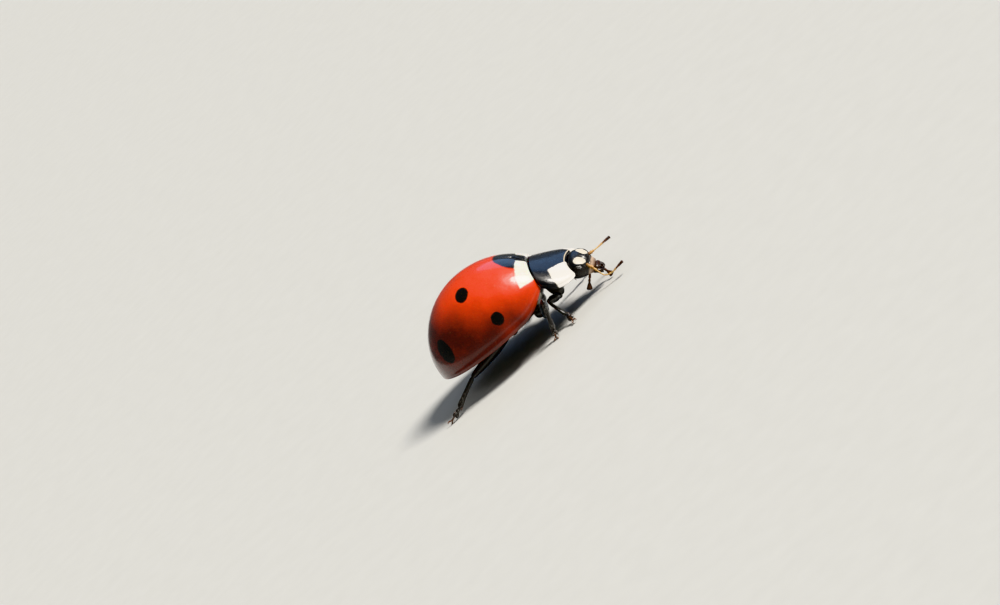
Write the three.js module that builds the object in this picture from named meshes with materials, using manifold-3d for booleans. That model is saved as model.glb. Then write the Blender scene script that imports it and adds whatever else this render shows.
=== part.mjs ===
// A seven-spot ladybird, life size, standing on six legs with its head turned a little to its right.
// Millimetres, +Z up. The head points along -Y and the animal's own left side is +X.
// The body is laid out from the middle of the wing cases' base: y = 0 there, z = 0 at their lower edge.

import * as THREE from "three";
import { mergeVertices } from "three/addons/utils/BufferGeometryUtils.js";
import Module from "manifold-3d";

const wasm = await Module();
wasm.setup();

// ---------------------------------------------------------------- driving dimensions

const GAP = 0.02; // clearance between pieces that touch
const GROUND = -1.43; // the ground, below the wing cases' lower edge
const CENTRE_Y = 1.583; // middle of the whole length, legs and feelers included
const CENTRE_X = 0.244;

const WING_CASE = {
  length: 6.0,
  halfWidth: 2.75,
  height: 2.8,
  thickness: 0.48,
  widestAt: 0.42,
  highestAt: 0.48,
  baseWidth: 0.6,
  baseHeight: 0.54,
  rearWidthPower: 2.15,
  rearHeightPower: 1.95,
  roundness: 2.1,
  tipDrop: 0.18,
  edgeBow: 0.05,
  shoulderLift: 0.5,
  shoulderReach: 0.22,
};

const BELLY_DEPTH = 0.38; // the breast plates' depth under the wing cases' edge
const BELLY_ROUNDNESS = 1.6;
const HIND_COXA_Y = 2.2; // where the hindmost breast plate meets the abdomen

const SHIELD = {
  length: 1.26,
  cornerLead: 0.2,
  halfWidth: 1.88,
  widestAt: 0.3, // as a share of its length, from the rear
  reach: 0.92,
  rearHeight: 1.38,
  slope: 0.77,
  curve: 0.16,
  rearEdge: 0.5,
  edgeSlope: 0.85,
  edgeCurve: 0.4,
  thickness: 0.42,
  bellyDepth: 0.44,
  roundness: 2.0,
  yaw: THREE.MathUtils.degToRad(-6),
  roll: THREE.MathUtils.degToRad(-6),
  pivotHeight: 0.6,
};

const HEAD = {
  centre: new THREE.Vector3(-0.04, -1.62, -0.15),
  pitch: THREE.MathUtils.degToRad(-45),
  roll: THREE.MathUtils.degToRad(-7),
  yaw: THREE.MathUtils.degToRad(-14),
  eyeOffset: new THREE.Vector3(0.66, -0.06, 0.0),
  eyeRadii: new THREE.Vector3(0.22, 0.26, 0.3),
};

const FEELER_RADIUS = 0.21;
const CLUB_RADIUS = 0.24;
const PALP_RADIUS = 0.2;

const FEMUR_RADIUS = 0.26;
const TIBIA_RADIUS = 0.22;
const TARSUS_RADIUS = 0.2;
const LIMB_SIDES = 8;

// ---------------------------------------------------------------- finishes

const finish = (color, roughness) => new THREE.MeshStandardMaterial({ color, roughness, metalness: 0 });
const redShell = finish(0xe02a06, 0.18);
const blackShell = finish(0x101216, 0.25);
const underside = finish(0x15130f, 0.6);
const limbBlack = finish(0x17130f, 0.4);
const eyeBlack = finish(0x0b0a0c, 0.3);
const hornBrown = finish(0x6b4a2a, 0.4);
const feelerBrown = finish(0xa67a45, 0.5);

// ---------------------------------------------------------------- shared geometry

const ladybird = new THREE.Group();
ladybird.position.set(-CENTRE_X, -CENTRE_Y, -GROUND);

function place(name, geometry, material, parent = ladybird) {
  const mesh = new THREE.Mesh(geometry, material);
  mesh.name = name;
  parent.add(mesh);
  return mesh;
}

// A closed body between two surfaces given on one grid: both faces, and the four walls that join them.
function between(rows, columns, upper, lower) {
  const positions = [];
  for (const surface of [upper, lower]) {
    for (let i = 0; i <= rows; i++) {
      for (let j = 0; j <= columns; j++) positions.push(...surface(i / rows, j / columns).toArray());
    }
  }
  const stride = columns + 1;
  const layer = (rows + 1) * stride;
  const at = (side, i, j) => side * layer + i * stride + j;
  const faces = [];
  const quad = (a, b, c, d) => faces.push(a, c, b, a, d, c);
  for (let i = 0; i < rows; i++) {
    for (let j = 0; j < columns; j++) {
      quad(at(0, i, j), at(0, i + 1, j), at(0, i + 1, j + 1), at(0, i, j + 1));
      quad(at(1, i, j), at(1, i, j + 1), at(1, i + 1, j + 1), at(1, i + 1, j));
    }
    quad(at(0, i, 0), at(1, i, 0), at(1, i + 1, 0), at(0, i + 1, 0));
    quad(at(0, i, columns), at(0, i + 1, columns), at(1, i + 1, columns), at(1, i, columns));
  }
  for (let j = 0; j < columns; j++) {
    quad(at(0, 0, j), at(0, 0, j + 1), at(1, 0, j + 1), at(1, 0, j));
    quad(at(0, rows, j), at(1, rows, j), at(1, rows, j + 1), at(0, rows, j + 1));
  }
  const geometry = new THREE.BufferGeometry();
  geometry.setAttribute("position", new THREE.Float32BufferAttribute(positions, 3));
  geometry.setIndex(faces);
  return geometry;
}

// A mesh as a solid in the frame of another, grown along its normals.
function solidOf(mesh, frame, grow) {
  mesh.updateWorldMatrix(true, false);
  frame.updateWorldMatrix(true, false);
  const plain = mesh.geometry.clone();
  plain.deleteAttribute("normal");
  plain.deleteAttribute("uv");
  const merged = mergeVertices(plain, 1e-4);
  merged.applyMatrix4(mesh.matrixWorld);
  merged.applyMatrix4(frame.matrixWorld.clone().invert());
  merged.computeVertexNormals();
  const position = merged.attributes.position;
  const normal = merged.attributes.normal;
  for (let i = 0; i < position.count; i++) {
    position.setXYZ(
      i,
      position.getX(i) + grow * normal.getX(i),
      position.getY(i) + grow * normal.getY(i),
      position.getZ(i) + grow * normal.getZ(i),
    );
  }
  return new wasm.Manifold(
    new wasm.Mesh({
      numProp: 3,
      vertProperties: position.array,
      triVerts: new Uint32Array(merged.index.array),
    }),
  );
}

// Takes the neighbours, and a clearance round them, out of a mesh, and keeps its largest body.
function fitRound(mesh, neighbours, clearance = GAP) {
  let solid = solidOf(mesh, mesh, 0);
  for (const neighbour of neighbours) solid = solid.subtract(solidOf(neighbour, mesh, clearance));
  const bodies = solid.simplify(GAP / 5).decompose();
  bodies.sort((a, b) => b.volume() - a.volume());
  const { vertProperties, triVerts } = bodies[0].getMesh();
  const geometry = new THREE.BufferGeometry();
  geometry.setAttribute("position", new THREE.Float32BufferAttribute(vertProperties, 3));
  geometry.setIndex(Array.from(triVerts));
  mesh.geometry = geometry;
}

const power = (value, exponent) => Math.sign(value) * Math.abs(value) ** exponent;
const lerp = THREE.MathUtils.lerp;
const acrossBody = (v) => (v - 0.5) * Math.PI; // from the right edge to the left

// ---------------------------------------------------------------- wing cases

// A profile along the body: an elliptic rise from its base value to 1, then a rounded fall to 0.
function swell(t, peak, base, fall) {
  if (t < peak) {
    const reach = peak / Math.sqrt(1 - base * base);
    return Math.sqrt(1 - ((peak - t) / reach) ** 2);
  }
  return Math.sqrt(Math.max(0, 1 - ((t - peak) / (1 - peak)) ** fall));
}

// The wing cases' lower edge: lifted at the shoulders, bowed down a little, and dropping to the tip.
function edgeHeight(t) {
  const shoulder = Math.max(0, 1 - t / WING_CASE.shoulderReach) ** 2;
  return (
    WING_CASE.shoulderLift * shoulder - WING_CASE.edgeBow * Math.sin(Math.PI * t) - WING_CASE.tipDrop * t * t
  );
}

// The wing cases' dome, or one set in from it: t runs from base to tip, angle from -90 to 90 degrees.
function domeSize(t, inset) {
  const wide = WING_CASE.halfWidth - inset;
  const high = WING_CASE.height - inset;
  const baseWidth = (WING_CASE.halfWidth * WING_CASE.baseWidth - inset) / wide;
  const baseHeight = (WING_CASE.height * WING_CASE.baseHeight - inset) / high;
  const rise = high * swell(t, WING_CASE.highestAt, baseHeight, WING_CASE.rearHeightPower);
  return {
    halfWidth: wide * swell(t, WING_CASE.widestAt, baseWidth, WING_CASE.rearWidthPower),
    edge: edgeHeight(t),
    top: rise - WING_CASE.tipDrop * t * t,
  };
}

function domePoint(t, angle, inset = 0) {
  const size = domeSize(t, inset);
  return new THREE.Vector3(
    size.halfWidth * power(Math.sin(angle), 2 / WING_CASE.roundness),
    t * (WING_CASE.length - inset),
    size.edge + (size.top - size.edge) * Math.max(0, Math.cos(angle)) ** (2 / WING_CASE.roundness),
  );
}

function domeTop(x, y) {
  const size = domeSize(y / WING_CASE.length, 0);
  const across = 1 - Math.abs(x / size.halfWidth) ** WING_CASE.roundness;
  return size.edge + (size.top - size.edge) * Math.max(0, across) ** (1 / WING_CASE.roundness);
}

const along = (u) => Math.sin((u * Math.PI) / 2); // close rows towards the rounded tip

function wingCase(side) {
  const surface = (inset) => (u, v) => {
    const point = domePoint(along(u), (v * Math.PI) / 2, inset);
    point.x = side * (point.x + GAP / 2);
    return point;
  };
  const shell = surface(0);
  const lining = surface(WING_CASE.thickness);
  return side > 0 ? between(13, 8, shell, lining) : between(13, 8, lining, shell);
}

const elytra = {
  right: place("elytron_right", wingCase(-1), redShell),
  left: place("elytron_left", wingCase(1), redShell),
};

// The scutellum is the small triangular plate let in between the wing cases' bases.
const SCUTELLUM = { halfWidth: 0.25, length: 0.4, depth: 0.4, rise: 0.02 };

function scutellumPoint(lift) {
  return (u, v) => {
    const x = SCUTELLUM.halfWidth * (1 - 0.96 * u) * (2 * v - 1);
    const y = SCUTELLUM.length * u;
    return new THREE.Vector3(x, y, domeTop(x, y) + lift);
  };
}
const scutellum = place(
  "scutellum",
  between(4, 4, scutellumPoint(SCUTELLUM.rise), scutellumPoint(-SCUTELLUM.depth)),
  blackShell,
);

fitRound(elytra.right, [scutellum]);
fitRound(elytra.left, [scutellum]);

// ---------------------------------------------------------------- trunk under the wing cases

// Depth of the underside at its middle: full under the breast, thinner to both ends.
function bellyDepth(y) {
  const front = THREE.MathUtils.smoothstep(y, -1.2, 0.9);
  const rear = Math.sqrt(Math.max(0, 1 - (Math.max(0, y - HIND_COXA_Y) / 3.9) ** 2.2));
  return BELLY_DEPTH * front * rear;
}

function trunkSection(fromY, toY) {
  const inset = WING_CASE.thickness + 2.5 * GAP;
  const reach = WING_CASE.length - inset;
  const atT = (u) => {
    const start = Math.asin(fromY / reach);
    const end = Math.asin(Math.min(1, toY / reach));
    return Math.sin(lerp(start, end, u));
  };
  const back = (u, v) => domePoint(atT(u), acrossBody(v), inset);
  const belly = (u, v) => {
    const t = atT(u);
    const angle = acrossBody(v);
    const size = domeSize(t, inset);
    const drop = bellyDepth(t * reach) * Math.max(0, Math.cos(angle)) ** (2 / BELLY_ROUNDNESS);
    return new THREE.Vector3(
      size.halfWidth * power(Math.sin(angle), 2 / WING_CASE.roundness),
      t * reach,
      size.edge - drop,
    );
  };
  return between(8, 10, back, belly);
}

const pterothorax = place("pterothorax", trunkSection(0, HIND_COXA_Y), underside);
const abdomen = place("abdomen", trunkSection(HIND_COXA_Y + GAP, WING_CASE.length), underside);
fitRound(pterothorax, [scutellum]);

// ---------------------------------------------------------------- prothorax

// Turns a point of the front body about its hinge with the hind body, in full at v = 1.
function turnForward(point, v) {
  const turn = new THREE.Euler(0, SHIELD.roll * v, SHIELD.yaw * v, "ZYX");
  point.z -= SHIELD.pivotHeight;
  point.applyEuler(turn);
  point.z += SHIELD.pivotHeight;
  return point;
}

// The neck shield: v runs from its rear edge to its front edge, angle from -90 to 90 degrees.
function shieldSize(v) {
  return {
    halfWidth: SHIELD.halfWidth * Math.sqrt(1 - ((v - SHIELD.widestAt) / SHIELD.reach) ** 2),
    top: SHIELD.rearHeight - SHIELD.slope * v - SHIELD.curve * v * v,
    edge: SHIELD.rearEdge - SHIELD.edgeSlope * v + SHIELD.edgeCurve * v * v,
  };
}

// A point of a cross-section of the front body, at a height over the shield's edge.
function sectionPoint(v, angle, inset, height) {
  const size = shieldSize(v);
  const side = Math.sin(angle) ** 2;
  const point = new THREE.Vector3(
    (size.halfWidth - inset) * power(Math.sin(angle), 2 / SHIELD.roundness),
    -2 * GAP - SHIELD.length * v - side * (2 * GAP + SHIELD.cornerLead * v * v),
    size.edge + height * Math.max(0, Math.cos(angle)) ** (2 / SHIELD.roundness),
  );
  return turnForward(point, v);
}

function shieldPoint(v, angle, inset = 0) {
  const size = shieldSize(v);
  return sectionPoint(v, angle, inset, size.top - inset - size.edge);
}

// The breast under the shield: its underside hangs down towards a level belly.
function breastPoint(v, angle, inset) {
  const depth = shieldSize(v).edge + lerp(SHIELD.bellyDepth, SHIELD.bellyDepth / 2, v);
  return sectionPoint(v, angle, inset, -depth);
}

const pronotum = place(
  "pronotum",
  between(
    6,
    14,
    (u, v) => shieldPoint(u, acrossBody(1 - v)),
    (u, v) => shieldPoint(u, acrossBody(1 - v), SHIELD.thickness),
  ),
  blackShell,
);
const prothorax = place(
  "prothorax",
  between(
    5,
    12,
    (u, v) => shieldPoint(u, acrossBody(1 - v), SHIELD.thickness + GAP),
    (u, v) => breastPoint(u, acrossBody(1 - v), SHIELD.thickness + GAP),
  ),
  underside,
);

// ---------------------------------------------------------------- head

const head = new THREE.Group();
head.position.copy(HEAD.centre);
head.rotation.set(HEAD.pitch, HEAD.roll, HEAD.yaw, "ZYX");
ladybird.add(head);

// The capsule's half width and half depth, from the crown down to the front of the face.
const capsuleWidth = new THREE.SplineCurve([
  new THREE.Vector2(0.02, 0.56),
  new THREE.Vector2(0.58, 0.47),
  new THREE.Vector2(0.82, 0.2),
  new THREE.Vector2(0.82, -0.05),
  new THREE.Vector2(0.62, -0.32),
  new THREE.Vector2(0.44, -0.48),
  new THREE.Vector2(0.36, -0.62),
  new THREE.Vector2(0.02, -0.66),
]);
const capsuleDepth = new THREE.SplineCurve([
  new THREE.Vector2(0.02, 0.56),
  new THREE.Vector2(0.36, 0.47),
  new THREE.Vector2(0.46, 0.2),
  new THREE.Vector2(0.45, -0.05),
  new THREE.Vector2(0.38, -0.32),
  new THREE.Vector2(0.3, -0.48),
  new THREE.Vector2(0.2, -0.62),
  new THREE.Vector2(0.02, -0.66),
]);

function capsule(rings, sides) {
  const face = (front) => (u, v) => {
    const width = capsuleWidth.getPoint(u);
    const depth = capsuleDepth.getPoint(u);
    const angle = acrossBody(v);
    return new THREE.Vector3(
      width.x * power(Math.sin(angle), 0.9),
      front * depth.x * Math.max(0, Math.cos(angle)) ** 0.8,
      width.y,
    );
  };
  return between(rings, sides, face(1), face(-1));
}
const skull = place("head", capsule(10, 9), blackShell, head);

function ball(radii, widthSegments = 12, heightSegments = 8) {
  return new THREE.SphereGeometry(1, widthSegments, heightSegments).scale(radii.x, radii.y, radii.z);
}

const eyes = [
  ["eye_right", -1],
  ["eye_left", 1],
].map(([name, side]) => {
  const eye = place(name, ball(HEAD.eyeRadii), eyeBlack, head);
  eye.position.set(side * HEAD.eyeOffset.x, HEAD.eyeOffset.y, HEAD.eyeOffset.z);
  return eye;
});

const labrum = place("labrum", ball(new THREE.Vector3(0.3, 0.14, 0.13)), hornBrown, head);
labrum.position.set(0, -0.06, -0.74);

const mandibles = [
  ["mandible_right", -1],
  ["mandible_left", 1],
].map(([name, side]) => {
  const jaw = place(name, ball(new THREE.Vector3(0.13, 0.13, 0.17), 8, 6), hornBrown, head);
  jaw.position.set(side * 0.15, 0.04, -0.88);
  jaw.rotation.set(0, side * 0.5, 0);
  return jaw;
});

fitRound(skull, [...eyes, pronotum, prothorax]);
fitRound(eyes[0], [pronotum]);
fitRound(eyes[1], [pronotum]);
fitRound(labrum, [skull]);
fitRound(mandibles[0], [skull, labrum]);
fitRound(mandibles[1], [skull, labrum, mandibles[0]]);

// ---------------------------------------------------------------- limbs

// A limb piece along +Y from joint to joint: radii in its own plane and across it, with round ends.
function limb(length, radius, startScale, endScale, flatness) {
  const profile = [];
  const steps = 7;
  for (let i = 0; i <= steps; i++) {
    const s = 0.5 - 0.5 * Math.cos((i / steps) * Math.PI);
    const body = lerp(startScale, endScale, s);
    const ends = Math.sqrt(Math.max(0, 1 - Math.abs(2 * s - 1) ** 5));
    profile.push(new THREE.Vector2(i % steps === 0 ? 0 : radius * body * ends, s * length));
  }
  return new THREE.LatheGeometry(profile, LIMB_SIDES).scale(1, 1, flatness);
}

// Lays a limb piece from one joint to the next, its broad side in the plane through a third point.
function span(mesh, from, to, planePoint) {
  const y = to.clone().sub(from).normalize();
  const toPlane = planePoint.clone().sub(from);
  const z = new THREE.Vector3().crossVectors(toPlane, y).normalize();
  const x = new THREE.Vector3().crossVectors(y, z);
  mesh.position.copy(from);
  mesh.quaternion.setFromRotationMatrix(new THREE.Matrix4().makeBasis(x, y, z));
}

const point = (x, y, z) => new THREE.Vector3(x, y, z);

// Joints of each leg: the ball in the breast, the hip beside it, knee, ankle and toe tip.
const TOE_Z = GROUND + 0.4 * TARSUS_RADIUS;
const STEEP_TOE_Z = GROUND + 0.1 * TARSUS_RADIUS; // a steeply held foot stands on its tip
const LEGS = {
  front_right: {
    socket: point(-0.45, -0.28, -0.3),
    radii: point(0.24, 0.25, 0.3),
    hip: point(-0.62, -0.18, -0.5),
    knee: point(-1.4, 0.19, -0.24),
    ankle: point(-1.82, -0.12, -1.05),
    toe: point(-2.35, -0.32, TOE_Z),
  },
  front_left: {
    socket: point(0.45, -0.28, -0.3),
    radii: point(0.24, 0.25, 0.3),
    hip: point(0.62, -0.3, -0.5),
    knee: point(1.65, -0.3, -0.25),
    ankle: point(2.25, -0.62, -1.0),
    toe: point(2.85, -1.0, TOE_Z),
  },
  middle_right: {
    socket: point(-0.85, 0.85, -0.46),
    radii: point(0.3, 0.27, 0.26),
    hip: point(-1.0, 0.72, -0.7),
    knee: point(-2.5, 0.1, 0.2),
    ankle: point(-2.5, 0.56, -1.02),
    toe: point(-2.62, 0.7, STEEP_TOE_Z),
  },
  middle_left: {
    socket: point(0.85, 0.85, -0.46),
    radii: point(0.3, 0.27, 0.26),
    hip: point(1.0, 0.9, -0.64),
    knee: point(2.55, 1.35, -0.3),
    ankle: point(3.05, 1.9, -1.0),
    toe: point(3.45, 2.35, TOE_Z),
  },
  hind_right: {
    socket: point(-0.95, 2.2, -0.33),
    radii: point(0.45, 0.22, 0.22),
    hip: point(-0.9, 2.42, -0.37),
    knee: point(-2.1, 4.6, -0.58),
    ankle: point(-2.7, 5.74, -1.1),
    toe: point(-2.9, 6.41, TOE_Z),
  },
  hind_left: {
    socket: point(0.95, 2.2, -0.33),
    radii: point(0.45, 0.22, 0.22),
    hip: point(0.9, 2.42, -0.37),
    knee: point(2.5, 3.6, -0.52),
    ankle: point(3.05, 4.75, -1.06),
    toe: point(3.3, 5.4, TOE_Z),
  },
};

const ground = new THREE.Mesh(new THREE.BoxGeometry(20, 20, 2), limbBlack);
ground.position.set(0, 0, GROUND - 1);
ladybird.add(ground);

for (const [leg, joints] of Object.entries(LEGS)) {
  const coxa = place("leg_" + leg + "_coxa", ball(joints.radii, 10, 6), limbBlack);
  coxa.position.copy(joints.socket);

  const femurLength = joints.knee.distanceTo(joints.hip);
  const femur = place("leg_" + leg + "_femur", limb(femurLength, FEMUR_RADIUS, 0.9, 0.95, 0.85), limbBlack);
  span(femur, joints.hip, joints.knee, joints.ankle);

  const tibiaLength = joints.ankle.distanceTo(joints.knee);
  const tibia = place("leg_" + leg + "_tibia", limb(tibiaLength, TIBIA_RADIUS, 0.92, 1.08, 1), limbBlack);
  span(tibia, joints.knee, joints.ankle, joints.hip);

  const tarsusLength = joints.toe.distanceTo(joints.ankle);
  const tarsus = place("leg_" + leg + "_tarsus", limb(tarsusLength, TARSUS_RADIUS, 0.95, 1, 1), limbBlack);
  span(tarsus, joints.ankle, joints.toe, joints.knee);

  fitRound(pterothorax, [coxa]);
  fitRound(abdomen, [coxa]);
  fitRound(prothorax, [coxa]);
  fitRound(femur, [coxa, pterothorax, abdomen, prothorax, elytra.right, elytra.left]);
  fitRound(tibia, [femur]);
  fitRound(tarsus, [tibia]);
  fitRound(tarsus, [ground], 0);
}

ladybird.remove(ground);

// ---------------------------------------------------------------- feelers

// A feeler or palp: a bent stalk, then a thicker end piece that carries on its last direction.
function rod(radius, joints) {
  const section = new THREE.Shape();
  section.absarc(0, 0, radius, 0, 2 * Math.PI);
  const path = new THREE.CatmullRomCurve3(joints);
  return new THREE.ExtrudeGeometry(section, {
    steps: 3 * (joints.length - 1),
    curveSegments: 4,
    extrudePath: path,
    bevelEnabled: false,
  });
}

const FEELERS = {
  palp_right: {
    radius: PALP_RADIUS,
    joints: [point(-0.25, -1.8, -0.6), point(-0.32, -1.6, -0.8), point(-0.37, -1.48, -0.92)],
    tip: point(-0.44, -1.28, -1.19),
    tipRadius: PALP_RADIUS,
  },
  palp_left: {
    radius: PALP_RADIUS,
    joints: [point(0.32, -2.0, -0.66), point(0.3, -2.16, -0.88), point(0.02, -2.28, -1.08)],
    tip: point(-0.28, -2.42, -1.21),
    tipRadius: PALP_RADIUS,
  },
  antenna_right: {
    radius: FEELER_RADIUS,
    joints: [
      point(-0.5, -1.92, -0.25),
      point(-0.65, -2.07, -0.54),
      point(-0.84, -2.25, -0.97),
      point(-0.92, -2.56, -1.07),
      point(-0.9, -2.84, -1.04),
    ],
    tip: point(-0.9, -3.24, -0.98),
    tipRadius: CLUB_RADIUS,
  },
  antenna_left: {
    radius: FEELER_RADIUS,
    joints: [point(0.36, -2.12, -0.14), point(0.55, -2.42, -0.2), point(0.8, -2.74, -0.24)],
    tip: point(0.98, -3.14, -0.27),
    tipRadius: CLUB_RADIUS,
  },
};

const mouth = [skull, ...eyes, labrum, ...mandibles];
for (const [feeler, { radius, joints, tip, tipRadius }] of Object.entries(FEELERS)) {
  const stalk = place(feeler + "_stalk", rod(radius, joints), feelerBrown);
  const start = joints.at(-1);
  const end = place(feeler + "_tip", limb(start.distanceTo(tip), tipRadius, 1, 1, 1), hornBrown);
  span(end, start, tip, joints[0]);
  fitRound(end, [...mouth]);
  fitRound(stalk, [end, ...mouth]);
  mouth.push(stalk, end);
}

export default ladybird;
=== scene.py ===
"""A seven-spot ladybird, life size, as a still museum model on a pale floor.

Every piece is laid out in millimetres in its own frame, so a material's Object coordinates are
millimetres too. The body's frame starts at the middle of the wing cases' base: the head points
along -Y, the animal's left side is +X, and z = 0 is the level of the wing cases' lower edge.
"""

import math

import bpy
import bmesh
import numpy as np
from mathutils import Euler, Matrix, Vector


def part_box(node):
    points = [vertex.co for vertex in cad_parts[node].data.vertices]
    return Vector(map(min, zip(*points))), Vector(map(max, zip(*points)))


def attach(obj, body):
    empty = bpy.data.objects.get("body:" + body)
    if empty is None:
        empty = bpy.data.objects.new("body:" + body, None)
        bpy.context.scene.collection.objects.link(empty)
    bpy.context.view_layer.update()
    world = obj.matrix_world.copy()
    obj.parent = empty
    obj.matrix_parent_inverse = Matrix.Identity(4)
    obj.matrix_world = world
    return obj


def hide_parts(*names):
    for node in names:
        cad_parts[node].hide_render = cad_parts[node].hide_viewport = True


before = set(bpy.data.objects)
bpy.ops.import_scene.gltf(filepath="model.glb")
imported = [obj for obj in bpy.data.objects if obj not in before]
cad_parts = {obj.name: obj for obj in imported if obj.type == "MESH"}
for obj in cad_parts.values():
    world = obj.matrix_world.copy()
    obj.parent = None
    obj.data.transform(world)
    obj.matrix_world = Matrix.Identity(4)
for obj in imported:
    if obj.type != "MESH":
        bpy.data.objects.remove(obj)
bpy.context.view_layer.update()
scene = bpy.context.scene

# ---------------------------------------------------------------- body frame and camera
# The body stands 1.43 mm above the floor on its bent legs. The camera looks at its right side from
# a little behind and above, rolled so that the animal climbs to the upper right of the picture.
MM = 0.001
STANDING_HEIGHT = 1.43
right_low, right_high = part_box("elytron_right")
left_low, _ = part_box("elytron_left")
BASE = Vector(((right_high.x + left_low.x) / 2, right_low.y, STANDING_HEIGHT * MM))
BODY = Matrix.Translation(BASE) @ Matrix.Scale(MM, 4)

CAMERA_AZIMUTH, CAMERA_ELEVATION, CAMERA_ROLL = -77.375, 12.958, -41.571
CAMERA_DISTANCE = 200.0
CAMERA_OFFSET = (-2.03, -0.748)  # across and up the picture, so that the whole animal is in it
FIELD_WIDTH = 42.02  # millimetres across the picture at the body
SENSOR = 36.0


def direction(azimuth, elevation):
    """The way from the animal to a place round it: azimuth 0 is in front of its face, 90 at its left."""
    a, e = math.radians(azimuth), math.radians(elevation)
    return Vector((math.sin(a) * math.cos(e), -math.cos(a) * math.cos(e), math.sin(e)))


back = direction(CAMERA_AZIMUTH, CAMERA_ELEVATION)
level = Vector((0, 0, 1)).cross(back).normalized()
roll = Matrix.Rotation(math.radians(CAMERA_ROLL), 3, back)
picture_right = roll @ level
picture_up = back.cross(picture_right)
camera_data = bpy.data.cameras.new("camera")
camera_data.sensor_width = SENSOR
camera_data.lens = SENSOR * CAMERA_DISTANCE / FIELD_WIDTH
camera_data.clip_start = 10 * MM
camera_data.clip_end = 5.0
camera = bpy.data.objects.new("camera", camera_data)
shift = picture_right * CAMERA_OFFSET[0] + picture_up * CAMERA_OFFSET[1]
axes = Matrix((picture_right, picture_up, back)).transposed().to_4x4()
camera.matrix_world = Matrix.Translation(BASE + (back * CAMERA_DISTANCE + shift) * MM) @ axes
scene.collection.objects.link(camera)
scene.camera = camera

# ---------------------------------------------------------------- floor and studio lights
# A pale matt floor, far larger than the picture. A warm window-like lamp shines from in front of the
# face, a cooler broad one from the far side, and two weak ones keep the near and rear sides open.
FLOOR_RADIUS = 900.0
SMOOTH = {"interpolation_type": "SMOOTHSTEP"}  # for an edge between two finishes that fades


def linear(hex_colour):
    """An sRGB hex colour as the linear colour that shaders use."""
    parts = [int(hex_colour[i : i + 2], 16) / 255 for i in (1, 3, 5)]
    return tuple(c / 12.92 if c <= 0.04045 else ((c + 0.055) / 1.055) ** 2.4 for c in parts) + (1.0,)


def give(tree, node, inputs):
    """Sets a node's inputs, each to a value, a hex colour, or what another node gives."""
    for key, value in inputs.items():
        named = (s for s in node.inputs if s.enabled and s.name == key)
        socket = node.inputs[key] if isinstance(key, int) else next(named)
        if isinstance(value, str):
            value = linear(value)
        if isinstance(value, bpy.types.Node):
            value = next(s for s in value.outputs if s.enabled)
        if isinstance(value, bpy.types.NodeSocket):
            tree.links.new(value, socket)
        else:
            socket.default_value = value


def add(tree, kind, inputs=None, **settings):
    """Adds one node to a material, with its settings and what feeds its inputs."""
    node = tree.nodes.new("ShaderNode" + kind)
    for key, value in settings.items():
        setattr(node, key, value)
    give(tree, node, inputs or {})
    return node


def new_material(name):
    """A new material with its nodes, its surface, and the place that a pattern on it starts from."""
    material = bpy.data.materials.new(name)
    material.use_nodes = True
    tree = material.node_tree
    return material, tree, tree.nodes["Principled BSDF"], add(tree, "TexCoord").outputs["Object"]


# Primed board rolled with matt emulsion: an even off-white with a faint roller texture. The eye gets
# a quiet ground with soft shadows and no glare. The floor's own coordinates are metres.
ROLLER_DABS = 900.0  # to the metre
floor_paint, tree, skin, place = new_material("matt_floor_paint")
roller = add(tree, "TexNoise", {"Vector": place, "Scale": ROLLER_DABS, "Detail": 3.0})
shade = add(tree, "MapRange", {"Value": roller, "To Min": 0.93, "To Max": 1.0})
tint = add(tree, "Mix", {"Factor": 1.0, "A": "#DCDDDA", "B": shade}, data_type="RGBA", blend_type="MULTIPLY")
bump = add(tree, "Bump", {"Height": roller, "Strength": 0.2, "Distance": 0.02 * MM})
give(tree, skin, {"Base Color": tint, "Roughness": 0.75, "Normal": bump})

floor_mesh = bpy.data.meshes.new("floor")
sketch = bmesh.new()
bmesh.ops.create_circle(sketch, cap_ends=True, segments=96, radius=FLOOR_RADIUS * MM)
sketch.to_mesh(floor_mesh)
sketch.free()
floor_mesh.materials.append(floor_paint)
floor = bpy.data.objects.new("floor", floor_mesh)
scene.collection.objects.link(floor)

LAMPS = {  # azimuth, elevation, width in degrees, watts per square metre, colour, whether mirrored
    "key_lamp": (0, 44, 19, 4.3, "#FFF9F1", True),
    "sky_lamp": (72, 34, 29, 0.2, "#96C3FF", True),
    "near_lamp": (-110, 50, 30, 0.08, "#FFF6EE", False),
    "rear_lamp": (170, 50, 30, 0.16, "#F2F4FF", False),
}
for name, (azimuth, elevation, width, strength, colour, mirrored) in LAMPS.items():
    lamp_data = bpy.data.lights.new(name, "SUN")
    lamp_data.angle = math.radians(width)
    lamp_data.energy = strength
    lamp_data.color = linear(colour)[:3]
    lamp = bpy.data.objects.new(name, lamp_data)
    lamp.visible_glossy = mirrored
    lamp.matrix_world = direction(azimuth, elevation).to_track_quat("Z", "Y").to_matrix().to_4x4()
    scene.collection.objects.link(lamp)

world = bpy.data.worlds.new("studio")
world.use_nodes = True
seen = add(world.node_tree, "LightPath").outputs["Is Camera Ray"]
strength = add(world.node_tree, "MapRange", {"Value": seen, "To Min": 0.27, "To Max": 0.95})
give(world.node_tree, world.node_tree.nodes["Background"], {"Color": "#D2D4D2", "Strength": strength})
scene.world = world
scene.view_settings.view_transform = "Khronos PBR Neutral"

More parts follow.
